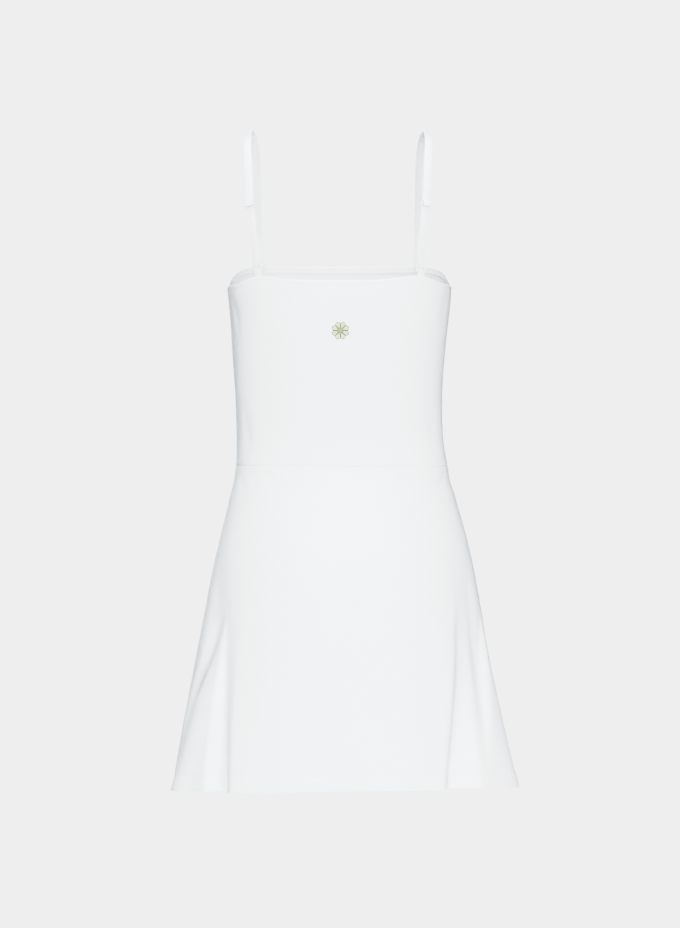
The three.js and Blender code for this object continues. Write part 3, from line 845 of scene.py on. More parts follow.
def thread_material(name, colour, rough=0.55):
    """Twisted polyester thread."""
    if name in bpy.data.materials:
        return bpy.data.materials[name]
    made, g = new_material(name)
    place = g.place()
    parts = g.node("ShaderNodeSeparateXYZ", {}, {"Vector": place})
    twist = (parts + parts.other("Y") * 0.6 + parts.other("Z")).wave(math.tau / PLY)
    soft = g.noise(place, 420, 2.0, 0.5)
    # painted shade in the grooves between the plies, with a random tone over it
    tone = g.blend((1 - twist) * 0.22 + soft * 0.2, colour, darker(colour, 0.80))
    values = {"Base Color": tone, "Roughness": rough + soft * 0.12, "Sheen Weight": 0.1}
    g.surface(values, height=twist, distance=0.00006, strength=0.4)
    return made


def new_tree(name, inputs):
    """A geometry tree with named inputs, and the wire of each of them."""
    tree = bpy.data.node_groups.new(name, "GeometryNodeTree")
    tree.interface.new_socket("Geometry", in_out="INPUT", socket_type="NodeSocketGeometry")
    tree.interface.new_socket("Geometry", in_out="OUTPUT", socket_type="NodeSocketGeometry")
    for label, kind in inputs:
        tree.interface.new_socket(label, in_out="INPUT", socket_type="NodeSocket" + kind)
    g = Graph(tree)
    geometry = g.node("NodeGroupInput", {}, {}, output="Geometry")
    return tree, g, {"Geometry": geometry, **{label: geometry.other(label) for label, _ in inputs}}


def stitch_tree():
    """Lays a stitch at even steps along each line.

    A point's "reach" is its stitch's length and its "outward" the cloth's direction. Slant turns the
    stitches this way and that, and Turn turns them all.
    """
    name = "Stitches along a line"
    if name in bpy.data.node_groups:
        return bpy.data.node_groups[name]
    tree, g, given = new_tree(name, [
        ("Pitch", "Float"), ("Thread width", "Float"), ("Thread height", "Float"),
        ("Slant", "Float"), ("Turn", "Float"), ("Material", "Material"),
    ])
    line = g.node("GeometryNodeMeshToCurve", {"mode": "EDGES"}, {"Mesh": given["Geometry"]})
    even = g.node("GeometryNodeResampleCurve", {"mode": "LENGTH"}, {"Curve": line, "Length": given["Pitch"]})
    reach = g.node("GeometryNodeInputNamedAttribute", {"data_type": "FLOAT"}, {"Name": "reach"})
    outward = g.node("GeometryNodeInputNamedAttribute", {"data_type": "FLOAT_VECTOR"}, {"Name": "outward"})
    tangent = g.node("GeometryNodeInputTangent")
    ahead = g.node("FunctionNodeAlignRotationToVector", {"axis": "X"}, {"Vector": tangent})
    facing = g.node(
        "FunctionNodeAlignRotationToVector",
        {"axis": "Z", "pivot_axis": "X"},
        {"Rotation": ahead, "Vector": outward},
    )
    every_other = g.node("GeometryNodeInputIndex").maths("MODULO", 2) * 2 - 1
    angle = every_other * given["Slant"] + given["Turn"]
    turned = g.node("ShaderNodeCombineXYZ", {}, {"Z": angle})
    local = g.node("FunctionNodeEulerToRotation", {}, {"Euler": turned})
    rotation = g.node(
        "FunctionNodeRotateRotation", {"rotation_space": "LOCAL"}, {"Rotation": facing, "Rotate By": local}
    )
    size = g.node(
        "ShaderNodeCombineXYZ", {}, {"X": reach, "Y": given["Thread width"], "Z": given["Thread height"]}
    )
    bead = g.node("GeometryNodeMeshUVSphere", {}, {"Segments": 6, "Rings": 4, "Radius": 0.5})
    turned_bead = g.node(
        "GeometryNodeTransform", {}, {"Geometry": bead, "Rotation": (0.0, math.pi / 2, 0.0)}
    )
    sewn = g.node(
        "GeometryNodeInstanceOnPoints",
        {},
        {"Points": even, "Instance": turned_bead, "Rotation": rotation, "Scale": size},
    )
    real = g.node("GeometryNodeRealizeInstances", {}, {"Geometry": sewn})
    smooth = g.node("GeometryNodeSetShadeSmooth", {}, {"Geometry": real})
    painted = g.node("GeometryNodeSetMaterial", {}, {"Geometry": smooth, "Material": given["Material"]})
    g.node("NodeGroupOutput", {}, {"Geometry": painted})
    return tree


def ribbon_tree():
    """Sweeps a flat ribbon with rounded edges along a line whose points hold the direction of its width."""
    tree, g, given = new_tree("Ribbon along a line", [
        ("Width", "Float"), ("Thickness", "Float"), ("Edge", "Float"), ("Material", "Material"),
    ])
    line = g.node("GeometryNodeMeshToCurve", {"mode": "EDGES"}, {"Mesh": given["Geometry"]})
    width_way = g.node("GeometryNodeInputNamedAttribute", {"data_type": "FLOAT_VECTOR"}, {"Name": "outward"})
    held = g.node("GeometryNodeSetCurveNormal", {"mode": "FREE"}, {"Curve": line, "Normal": width_way})
    length = g.node("GeometryNodeSplineParameter", {}, {}, output="Length")
    marked = g.node(
        "GeometryNodeStoreNamedAttribute",
        {"data_type": "FLOAT", "domain": "POINT"},
        {"Geometry": held, "Name": "lengthwise", "Value": length},
    )
    box = g.node(
        "GeometryNodeCurvePrimitiveQuadrilateral",
        {"mode": "RECTANGLE"},
        {"Width": given["Width"], "Height": given["Thickness"]},
    )
    eased = g.node(
        "GeometryNodeFilletCurve", {"mode": "POLY"}, {"Curve": box, "Count": 3, "Radius": given["Edge"]}
    )
    across = g.node("ShaderNodeSeparateXYZ", {}, {"Vector": g.node("GeometryNodeInputPosition")})
    profile = g.node(
        "GeometryNodeStoreNamedAttribute",
        {"data_type": "FLOAT", "domain": "POINT"},
        {"Geometry": eased, "Name": "crosswise", "Value": across},
    )
    swept = g.node(
        "GeometryNodeCurveToMesh", {}, {"Curve": marked, "Profile Curve": profile, "Fill Caps": True}
    )
    smooth = g.node("GeometryNodeSetShadeSmooth", {}, {"Geometry": swept})
    real = g.node("GeometryNodeRealizeInstances", {}, {"Geometry": smooth})
    painted = g.node("GeometryNodeSetMaterial", {}, {"Geometry": real, "Material": given["Material"]})
    g.node("NodeGroupOutput", {}, {"Geometry": painted})
    return tree


def grown(name, holder, tree, values):
    """Runs a tree on a holder of lines, and keeps the result as a plain mesh object."""
    modifier = holder.modifiers.new("Tree", "NODES")
    modifier.node_group = tree
    for item in tree.interface.items_tree:
        if item.in_out == "INPUT" and item.name in values:
            modifier[item.identifier] = values[item.name]
    bpy.context.view_layer.update()
    graph = bpy.context.evaluated_depsgraph_get()
    mesh = bpy.data.meshes.new_from_object(
        holder.evaluated_get(graph), preserve_all_data_layers=True, depsgraph=graph
    )
    if not len(mesh.polygons):
        raise RuntimeError(f"{name} came out empty")
    bpy.data.objects.remove(holder)
    mesh.name = name
    made = bpy.data.objects.new(name, mesh)
    bpy.context.scene.collection.objects.link(made)
    return made


class Lines:
    """Lines to sew along: points, the outward direction at each and the length of the stitch there."""

    def __init__(self):
        self.points, self.outward, self.reach, self.edges, self.count = [], [], [], [], 0

    def add(self, points, outward, reach, closed=False):
        """Adds one line of points, open or closed."""
        count = len(points)
        self.points.append(np.asarray(points))
        self.outward.append(np.broadcast_to(outward, (count, 3)))
        self.reach.append(np.broadcast_to(np.asarray(reach, float), (count,)))
        ids = range(self.count, self.count + count)
        self.edges += list(zip(ids, ids[1:])) + ([(ids[-1], ids[0])] if closed else [])
        self.count += count

    def holder(self, name):
        """One object of all the lines, for a tree to run on."""
        return make_mesh(
            name + "_lines",
            np.concatenate(self.points),
            [],
            edges=self.edges,
            numbers={"reach": np.concatenate(self.reach) * MM},
            vectors={"outward": np.concatenate(self.outward)},
        )

    def sew(self, name, pitch, width, material, slant=0.0, turn=0.0, height=0.7):
        """Sews along all the lines, where the thread's height is given as a share of its width."""
        values = {
            "Pitch": pitch * MM,
            "Thread width": width * MM,
            "Thread height": width * height * MM,
            "Slant": math.radians(slant),
            "Turn": math.radians(turn),
            "Material": material,
        }
        piece = grown(name, self.holder(name), stitch_tree(), values)
        return settle(piece, material)


# Straps


class StrapFrame:
    """The line of one strap from inside the front panel, over the shoulder, to inside the back panel."""

    SAMPLES = 200

    def __init__(self, side):
        self.side = side
        front = STRAP_TURN["front"] if side > 0 else 180 - STRAP_TURN["front"]
        back = 360 - STRAP_TURN["back"] if side > 0 else 180 + STRAP_TURN["back"]
        front_drop = float(smooth_curve(FRONT_EDGE[:, 0], FRONT_EDGE[:, 1], front))
        back_drop = float(smooth_curve(BACK_EDGE[:, 0], BACK_EDGE[:, 1], back))
        ends = (
            (front, front_drop + SEWN_DEPTH, STRAP_INSIDE["front"]),
            (front, front_drop, STRAP_INSIDE["front"]),
            (back, back_drop, STRAP_INSIDE["back"]),
            (back, back_drop + SEWN_DEPTH, STRAP_INSIDE["back"]),
        )
        inside = [self.inside(*end) for end in ends]
        line = [np.array([side * x + STRAP_SHIFT, y, z], float) for x, y, z, _, _ in STRAP_LINE]
        self.points = np.array([*inside[:2], *line, *inside[2:]])
        at_front, at_back = self.round_way(front, front_drop), self.round_way(back, back_drop)
        between = [self.width_way(swing, fall) for _, _, _, swing, fall in STRAP_LINE]
        self.across = np.array([at_front, at_front, *between, at_back, at_back])
        shares = np.linspace(0, 1, self.SAMPLES + 1)
        places = np.array([self.point(t) for t in shares])
        steps = np.linalg.norm(np.diff(places, axis=0), axis=1)
        self.travel, self.shares = np.concatenate([[0], np.cumsum(steps)]), shares
        self.length = self.travel[-1]
        self.edge = self.length - SEWN_DEPTH
        self.ring = self.edge - RING_ABOVE_EDGE
        self.slider = self.ring - SLIDER_ABOVE_RING

    @staticmethod
    def plain_skin(turn, drop):
        """The body's own section, without flutes or creases."""
        c, s = math.cos(math.radians(turn)), math.sin(math.radians(turn))
        deep = float(depth_at(turn, drop))
        x = float(section(LEAN, drop)) + float(power(c, 2 / SQUARENESS)) * float(section(HALF, drop))
        return np.array([x, float(power(s, 2 / SQUARENESS)) * deep, -drop])

    def inside(self, turn, drop, depth):
        """A point this deep inside the body's outer face."""
        round_way = self.plain_skin(turn + 0.5, drop) - self.plain_skin(turn - 0.5, drop)
        down_way = self.plain_skin(turn, drop + 1) - self.plain_skin(turn, drop - 1)
        return self.plain_skin(turn, drop) - unit(np.cross(down_way, round_way)) * depth

    def round_way(self, turn, drop):
        """The way round the body, to the strap's outer side."""
        way = unit(self.plain_skin(turn + 0.5, drop) - self.plain_skin(turn - 0.5, drop))
        return way if way[0] * self.side > 0 else -way

    def width_way(self, swing, fall):
        """The way of the strap's width, swung towards the back and fallen outwards."""
        x, z = self.side * math.cos(math.radians(fall)), -math.sin(math.radians(fall))
        a = -self.side * math.radians(swing)
        return np.array([x * math.cos(a), x * math.sin(a), z])

    def stretch(self, t):
        """Which stretch between two points a share of the line falls on, and how far along it."""
        place = t * (len(self.points) - 1)
        i = min(int(place), len(self.points) - 2)
        return i, place - i

    def point(self, t):
        """A point of the centripetal curve through the strap's points."""
        i, w = self.stretch(t)
        p1, p2 = self.points[i], self.points[i + 1]
        p0 = self.points[i - 1] if i > 0 else 2 * p1 - p2
        p3 = self.points[i + 2] if i + 2 < len(self.points) else 2 * p2 - p1
        d0, d1, d2 = (max(np.linalg.norm(b - a), 1e-9) ** 0.5 for a, b in ((p0, p1), (p1, p2), (p2, p3)))
        m1 = ((p1 - p0) / d0 - (p2 - p0) / (d0 + d1) + (p2 - p1) / d1) * d1
        m2 = ((p2 - p1) / d1 - (p3 - p1) / (d1 + d2) + (p3 - p2) / d2) * d1
        return p1 + m1 * w + (-3 * p1 + 3 * p2 - 2 * m1 - m2) * w**2 + (2 * p1 - 2 * p2 + m1 + m2) * w**3

    def at(self, length):
        """Middle, direction along, across and out at a length from the front end."""
        t = float(np.interp(length, self.travel, self.shares))
        low, high = max(t - 1e-4, 0), min(t + 1e-4, 1)
        along = unit(self.point(high) - self.point(low))
        i, w = self.stretch(t)
        across = self.across[i] + (self.across[i + 1] - self.across[i]) * w
        across = unit(across - along * across.dot(along))
        return self.point(t), along, across, np.cross(along, across) * self.side


def eased_line(corners, radius=0.75, steps=6, sharp=0.5, least=0.02):
    """A line of (length, out) pairs with its corners rounded, in few steps where they are not sharp."""
    corners = [np.array(c, float) for c in corners]
    eased = [corners[0]]
    for before, corner, after in zip(corners, corners[1:], corners[2:]):
        arrive, leave = corner - before, after - corner
        bend = abs(math.atan2(arrive[1], arrive[0]) - math.atan2(leave[1], leave[0]))
        bend = min(bend, math.tau - bend)
        reach = [np.linalg.norm(arrive), np.linalg.norm(leave)]
        cut = min(radius * math.tan(bend / 2), reach[0] / 2, reach[1] / 2)
        start, end = corner - arrive / reach[0] * cut, corner + leave / reach[1] * cut
        count = steps if bend > sharp else 2
        for k in range(count + 1):
            t = k / count
            eased.append((1 - t) ** 2 * start + 2 * t * (1 - t) * corner + t * t * end)
    eased.append(corners[-1])
    kept = [eased[0]]
    for place in eased[1:]:
        if np.linalg.norm(place - kept[-1]) > least:
            kept.append(place)
    return kept


def finer(line, step=2.5):
    """The same line with long stretches divided."""
    made = [line[0]]
    for a, b in zip(line, line[1:]):
        count = max(1, math.ceil(np.linalg.norm(b - a) / step))
        made += [a + (b - a) * k / count for k in range(1, count + 1)]
    return made


def strap_line(strap):
    """The strap weaves through the slider, turns round the ring and comes back inside itself."""
    wrap = SLIDER["middle"] / 2 + CLEARANCE + HALF_STRAP
    slot = wrap + LAYER
    wrap_out, ease = 2 * SLIDER_OUT, 10
    front_out = wrap_out + LAYER
    bar = strap.ring - (RING["height"] - RING["bar"]) / 2
    slider = strap.slider
    halfway = (slider + bar) / 2
    return [
        (0, 0), (slider - slot - ease / 2, 0), (slider - slot, 0), (slider - slot, front_out),
        (slider + slot, front_out), (slider + slot, 0), (slider + slot + ease, 0), (halfway, 0),
        (bar - 2 * ease, 0), (bar - ease, 0),
        (bar - RING_LOOP, RING_OUT + RING_LOOP), (bar + RING_LOOP, RING_OUT + RING_LOOP),
        (bar + RING_LOOP, RING_OUT - RING_LOOP), (bar - RING_LOOP, RING_OUT - RING_LOOP),
        (bar - ease, -LAYER), (bar - 2 * ease, -LAYER), (halfway, -LAYER),
        (slider + slot + ease, -LAYER), (slider + wrap, -LAYER), (slider + wrap, wrap_out),
        (slider - wrap, wrap_out), (slider - wrap, 0), (slider + wrap - LAYER, 0),
    ]


def tab_line(strap):
    """A short loop round the ring's lower bar, sewn inside the back's edge."""
    bar = strap.ring + (RING["height"] - RING["bar"]) / 2
    inside, end, sewn_out = strap.edge + 1, strap.length - 0.5, 1.0
    return [
        (end, sewn_out), (inside, sewn_out),
        (bar + RING_LOOP, RING_OUT + RING_LOOP), (bar - RING_LOOP, RING_OUT + RING_LOOP),
        (bar - RING_LOOP, RING_OUT - RING_LOOP), (bar + RING_LOOP, RING_OUT - RING_LOOP),
        (inside, sewn_out - LAYER), (end, sewn_out - LAYER),
    ]


def sweep_ribbon(name, strap, corners, straps, tree, material):
    """One length of elastic along a line of (length, out) pairs, and its own length in metres."""
    line = finer(eased_line(corners))
    points, across = [], []
    for length, out in line:
        middle, _, width_way, out_way = strap.at(length)
        points.append(middle + out_way * out)
        across.append(width_way)
    lines = Lines()
    lines.add(np.array(points), np.array(across), 1.0)
    values = {
        "Width": straps.width, "Thickness": straps.thickness, "Edge": straps.thickness * 0.42,
        "Material": material,
    }
    piece = grown(name, lines.holder(name), tree, values)
    total = np.linalg.norm(np.diff(points, axis=0), axis=1).sum() * MM
    return piece, float(total)


def rounded_outline(width, height, corner, level=0.0, steps=6):
    """Points round a rectangle with rounded corners, its middle at a level."""
    a, b = width / 2 - corner, height / 2 - corner
    outline = []
    for quarter, (x, y) in enumerate(((a, b), (-a, b), (-a, -b), (a, -b))):
        for k in range(steps + 1):
            angle = (quarter + k / steps) * math.pi / 2
            outline.append((x + corner * math.cos(angle), level + y + corner * math.sin(angle)))
    return outline


def slider_outlines():
    """The slider's outline and its two slots."""
    height = 2 * SLIDER["bar"] + 2 * SLIDER["slot"] + SLIDER["middle"]
    level = (SLIDER["middle"] + SLIDER["slot"]) / 2
    slot = (SLIDER["width"] - 2 * SLIDER["bar"], SLIDER["slot"], SLIDER["inside"])
    outer = rounded_outline(SLIDER["width"], height, SLIDER["corner"])
    return [outer, *(rounded_outline(*slot, level=at) for at in (level, -level))]


def ring_outlines():
    """The ring's outline and its opening."""
    bar = RING["bar"]
    return [
        rounded_outline(RING["width"], RING["height"], RING["corner"]),
        rounded_outline(RING["width"] - 2 * bar, RING["height"] - 2 * bar, RING["inside"]),
    ]


def moulded_plate(name, thickness, outlines, edge, matrix):
    """A flat plate with holes and eased edges, from outlines in millimetres."""
    curve = bpy.data.curves.new(name, "CURVE")
    curve.dimensions = "2D"
    curve.fill_mode = "BOTH"
    curve.extrude = (thickness / 2 - edge) * MM
    curve.bevel_depth = edge * MM
    curve.bevel_resolution = 3
    curve.offset = -edge * MM
    for outline in outlines:
        spline = curve.splines.new("POLY")
        spline.points.add(len(outline) - 1)
        for point, (x, y) in zip(spline.points, outline):
            point.co = (x * MM, y * MM, 0, 1)
        spline.use_cyclic_u = True
    holder = bpy.data.objects.new(name + "_outline", curve)
    bpy.context.scene.collection.objects.link(holder)
    bpy.context.view_layer.update()
    graph = bpy.context.evaluated_depsgraph_get()
    mesh = bpy.data.meshes.new_from_object(holder.evaluated_get(graph), depsgraph=graph)
    bpy.data.objects.remove(holder)
    close_mesh(mesh, 1e-6)
    mesh.transform(matrix)
    mesh.shade_smooth()
    mesh.set_sharp_from_angle(angle=math.radians(50))
    made = bpy.data.objects.new(name, mesh)
    bpy.context.scene.collection.objects.link(made)
    return made


def close_mesh(mesh, distance):
    """Merges doubled points and turns all faces outwards."""
    work = bmesh.new()
    work.from_mesh(mesh)
    bmesh.ops.remove_doubles(work, verts=work.verts, dist=distance)
    bmesh.ops.recalc_face_normals(work, faces=work.faces)
    work.to_mesh(mesh)
    work.free()


def seat(strap, length, out):
    """The matrix that sets a plate into a strap, its own Y running up the strap."""
    middle, along, across, out_way = strap.at(length)
    origin = (middle + out_way * out) * MM
    rows = np.stack([across * strap.side, -along, out_way, origin], axis=1).tolist()
    return Matrix([*rows, (0, 0, 0, 1)])


# Settings


class DressClothSettings(bpy.types.PropertyGroup):
    """Sizes and colours of the jersey panels."""

    cloth: FloatProperty(
        name="Cloth", description="Thickness of one layer of jersey", default=0.00095,
        min=0.0004, max=0.0015, unit="LENGTH", precision=5,
    )
    top_stitch: FloatProperty(
        name="Top stitch", description="From the top edge down to its stitch line", default=0.0067,
        min=0.004, max=0.0075, unit="LENGTH", precision=5,
    )
    hem_stitch: FloatProperty(
        name="Hem stitch", description="From the hem up to its lower stitch line", default=0.0185,
        min=0.010, max=0.019, unit="LENGTH", precision=5,
    )
    hem_row_gap: FloatProperty(
        name="Hem rows apart", description="Between the two stitch lines of the hem", default=0.0032,
        min=0.002, max=0.004, unit="LENGTH", precision=5,
    )
    seam_dip: FloatProperty(
        name="Seam dip", description="How far the cloth draws in at a seam", default=0.00055,
        min=0.0, max=0.0012, unit="LENGTH", precision=5,
    )
    waist_dip: FloatProperty(
        name="Waist dip", description="How far the sides draw in at the waist seam", default=0.00045,
        min=0.0, max=0.0012, unit="LENGTH", precision=5,
    )
    row_step: FloatProperty(
        name="Mesh step", description="Distance between the rows of a panel's mesh", default=0.0029,
        min=0.0026, max=0.010, unit="LENGTH", precision=5,
    )
    wale: FloatProperty(
        name="Wale", description="Width of one column of knitted loops", default=0.00085,
        min=0.0003, max=0.003, unit="LENGTH", precision=5,
    )
    course: FloatProperty(
        name="Course", description="Height of one row of knitted loops", default=0.00064,
        min=0.0003, max=0.003, unit="LENGTH", precision=5,
    )
    colour: FloatVectorProperty(
        name="Face", description="Colour of the jersey's face", default=(0.882, 0.899, 0.915),
        min=0.0, max=1.0, subtype="COLOR",
    )
    # partly the reverse's own colour and partly painted light: lighter than the face so that the shaded
    # inside of the dress reads brighter
    reverse_colour_with_painted_light: FloatVectorProperty(
        name="Reverse", description="Colour of the jersey's inside", default=(0.920, 0.918, 0.925),
        min=0.0, max=1.0, subtype="COLOR",
    )


class DressStrapSettings(bpy.types.PropertyGroup):
    """Sizes and colour of the elastic straps and tabs."""

    width: FloatProperty(
        name="Width", description="Width of the elastic", default=0.010, min=0.006, max=0.011,
        unit="LENGTH", precision=5,
    )
    thickness: FloatProperty(
        name="Thickness", description="Thickness of the elastic", default=0.00098,
        min=0.0005, max=0.0011, unit="LENGTH", precision=5,
    )
    rib: FloatProperty(
        name="Cord spacing", description="Between two cords of the elastic", default=0.00092,
        min=0.0005, max=0.003, unit="LENGTH", precision=5,
    )
    colour: FloatVectorProperty(
        name="Colour", description="Colour of the elastic", default=(0.875, 0.890, 0.902),
        min=0.0, max=1.0, subtype="COLOR",
    )


class DressHardwareSettings(bpy.types.PropertyGroup):
    """Edges and colour of the sliders and rings."""

    edge: FloatProperty(
        name="Edge", description="Rounding of a slider's or ring's edges", default=0.00032,
        min=0.0001, max=0.0005, unit="LENGTH", precision=5,
    )
    colour: FloatVectorProperty(
        name="Colour", description="Colour of the nylon", default=(0.86, 0.87, 0.875),
        min=0.0, max=1.0, subtype="COLOR",
    )


class DressStitchSettings(bpy.types.PropertyGroup):
    """Thread and stitch sizes."""

    thread: FloatProperty(
        name="Thread", description="Width of the sewing thread", default=0.00042,
        min=0.0002, max=0.0008, unit="LENGTH", precision=5,
    )
    length: FloatProperty(
        name="Stitch", description="Length of one stitch", default=0.0025, min=0.0015, max=0.004,
        unit="LENGTH", precision=5,
    )
    gap: FloatProperty(
        name="Gap", description="Gap between two stitches", default=0.0005, min=0.0002, max=0.002,
        unit="LENGTH", precision=5,
    )
    colour: FloatVectorProperty(
        name="Thread colour", description="Colour of the sewing thread", default=(0.90, 0.92, 0.935),
        min=0.0, max=1.0, subtype="COLOR",
    )
    tack_colour: FloatVectorProperty(
        name="Tack colour", description="Colour of the dense tacks", default=(0.94, 0.95, 0.96),
        min=0.0, max=1.0, subtype="COLOR",
    )


class DressFlowerSettings(bpy.types.PropertyGroup):
    """The small embroidered flower on the back."""

    petals: IntProperty(name="Petals", description="Number of petals", default=8, min=5, max=12)
    radius: FloatProperty(
        name="Radius", description="From the flower's middle to a petal's tip", default=0.0112,
        min=0.006, max=0.02, unit="LENGTH", precision=5,
    )
    drop: FloatProperty(
        name="Drop", description="From the strap crowns down to the flower's middle", default=0.2538,
        min=0.22, max=0.36, unit="LENGTH", precision=4,
    )
    fill: FloatVectorProperty(
        name="Petal", description="Colour of the petals", default=(0.65, 0.67, 0.51),
        min=0.0, max=1.0, subtype="COLOR",
    )
    outline: FloatVectorProperty(
        name="Outline", description="Colour of the outlines", default=(0.115, 0.125, 0.075),
        min=0.0, max=1.0, subtype="COLOR",
    )
    centre: FloatVectorProperty(
        name="Centre", description="Colour of the flower's centre", default=(0.47, 0.50, 0.20),
        min=0.0, max=1.0, subtype="COLOR",
    )


class DressStudioSettings(bpy.types.PropertyGroup):
    """Floor, backdrop tone and lights."""

    backdrop: FloatProperty(
        name="Backdrop", description="Tone of the backdrop, where 1 is white", default=0.775,
        min=0.0, max=1.0, subtype="FACTOR",
    )
    fill: FloatProperty(
        name="Fill", description="Strength of the light from all round", default=0.28, min=0.0, max=2.0,
    )
    key: FloatProperty(
        name="Key", description="Power of the large light in front", default=126.0, min=0.0, max=500.0,
        unit="POWER",
    )
    back: FloatProperty(
        name="Back", description="Power of the large light behind", default=115.0, min=0.0, max=500.0,
        unit="POWER",
    )
    top: FloatProperty(
        name="Top", description="Power of the large light overhead", default=49.0, min=0.0, max=500.0,
        unit="POWER",
    )
    shade: FloatProperty(
        name="Shade behind", description="Share of the fill that comes from behind the dress", default=0.35,
        min=0.0, max=1.0, subtype="FACTOR",
    )
    below: FloatProperty(
        name="Floor below", description="From the hem down to the floor", default=0.62, min=0.1, max=2.0,
        unit="LENGTH",
    )


# Operators


class DRESS_OT_panels(bpy.types.Operator):
    """Makes the two bodice panels and the two skirt panels, with turned edges and seams"""

    bl_idname = "dress.make_panels"
    bl_label = "Make panels"

    def execute(self, context):
        cloth = context.scene.dress_cloth
        jersey = jersey_material(cloth)
        for name, panel in panels(cloth).items():
            piece = settle(panel.build(), jersey, replaces=(name,))
        return {"FINISHED"}


class DRESS_OT_allowances(bpy.types.Operator):
    """Makes the overlocked seam allowances inside the waist seam and the side seams"""

    bl_idname = "dress.make_allowances"
    bl_label = "Make seam allowances"

    def execute(self, context):
        cloth, stitches = context.scene.dress_cloth, context.scene.dress_stitches
        jersey = jersey_material(cloth)
        thread = thread_material("sewing_thread", stitches.colour)
        made = panels(cloth)
        overlock, rows = Lines(), []
        for start, name in ((0, "bodice_front"), (180, "bodice_back")):
            turns, panel = np.linspace(start + 0.5, start + 179.5, 120), made[name]
            low, high = WAIST + WAIST_ALLOWANCE_BELOW, WAIST - WAIST_ALLOWANCE_ABOVE
            rows.append(self.cross_sections(panel, turns, low, turns, high))
            points, normal = panel.inner_face(turns, WAIST - OVERLOCK_ROW, inwards=OVERLOCK_INSIDE)
            overlock.add(points, -normal, reach=6.4)
        settle(sewn_strip("waist_allowance", np.concatenate(rows)), jersey)
        for label, seam, towards in (("right", 360, -1), ("left", 180, 1)):
            for part, (top, bottom) in SIDE_ALLOWANCE_DROPS.items():
                panel = made[part + "_back"]
                drops = np.linspace(top, bottom, round((bottom - top) / 3.2))
                near, far = (turn_near_seam(seam, towards, drops, d) for d in SIDE_ALLOWANCE)
                rows = self.cross_sections(panel, near, drops, far, drops)
                if towards < 0:
                    rows = rows[:, ::-1]
                settle(sewn_strip(f"side_allowance_{part}_{label}", rows), jersey)
                middle = turn_near_seam(seam, towards, drops, OVERLOCK_ROW)
                points, normal = panel.inner_face(middle, drops, inwards=OVERLOCK_INSIDE)
                overlock.add(points, -normal, reach=5.8)
        overlock.sew(
            "overlock_stitches", pitch=2.6, width=0.36, material=thread, slant=14, turn=90, height=0.6
        )
        return {"FINISHED"}

    @staticmethod
    def cross_sections(panel, turn_a, drop_a, turn_b, drop_b):
        """Rows of points, each once round a strip that lies inside a panel."""
        loop = []
        for depth, share in ALLOWANCE_SECTION:
            turn, drop = turn_a + (turn_b - turn_a) * share, drop_a + (drop_b - drop_a) * share
            points, _ = panel.inner_face(turn, drop, inwards=depth)
            loop.append(points)
        return np.stack(loop, axis=1)


class DRESS_OT_straps(bpy.types.Operator):
    """Makes the elastic straps, their tabs, and the sliders and rings that they run through"""

    bl_idname = "dress.make_straps"
    bl_label = "Make straps"

    def execute(self, context):
        straps, hardware = context.scene.dress_straps, context.scene.dress_hardware
        elastic, nylon, tree = elastic_material(straps), moulded_material(hardware), ribbon_tree()
        edge = in_mm(hardware.edge)
        for side, label in ((-1, "left"), (1, "right")):
            strap = StrapFrame(side)
            for kind, node, line in (
                ("strap", f"strap_{label}", strap_line(strap)),
                ("tab", f"strap_tab_{label}", tab_line(strap)),
            ):
                piece, length = sweep_ribbon(f"{kind}_{label}_elastic", strap, line, straps, tree, elastic)
                settle(piece, elastic, (node,))
            for kind, outlines, thick, rounding, place, out in (
                ("slider", slider_outlines(), SLIDER["plate"], edge, strap.slider, SLIDER_OUT),
                ("ring", ring_outlines(), RING["bar"], edge * RING_ROUNDING, strap.ring, RING_OUT),
            ):
                matrix = seat(strap, place, out)
                piece = moulded_plate(f"{kind}_{label}_plate", thick, outlines, rounding, matrix)
                settle(piece, nylon, (f"{kind}_{label}",))
        return {"FINISHED"}


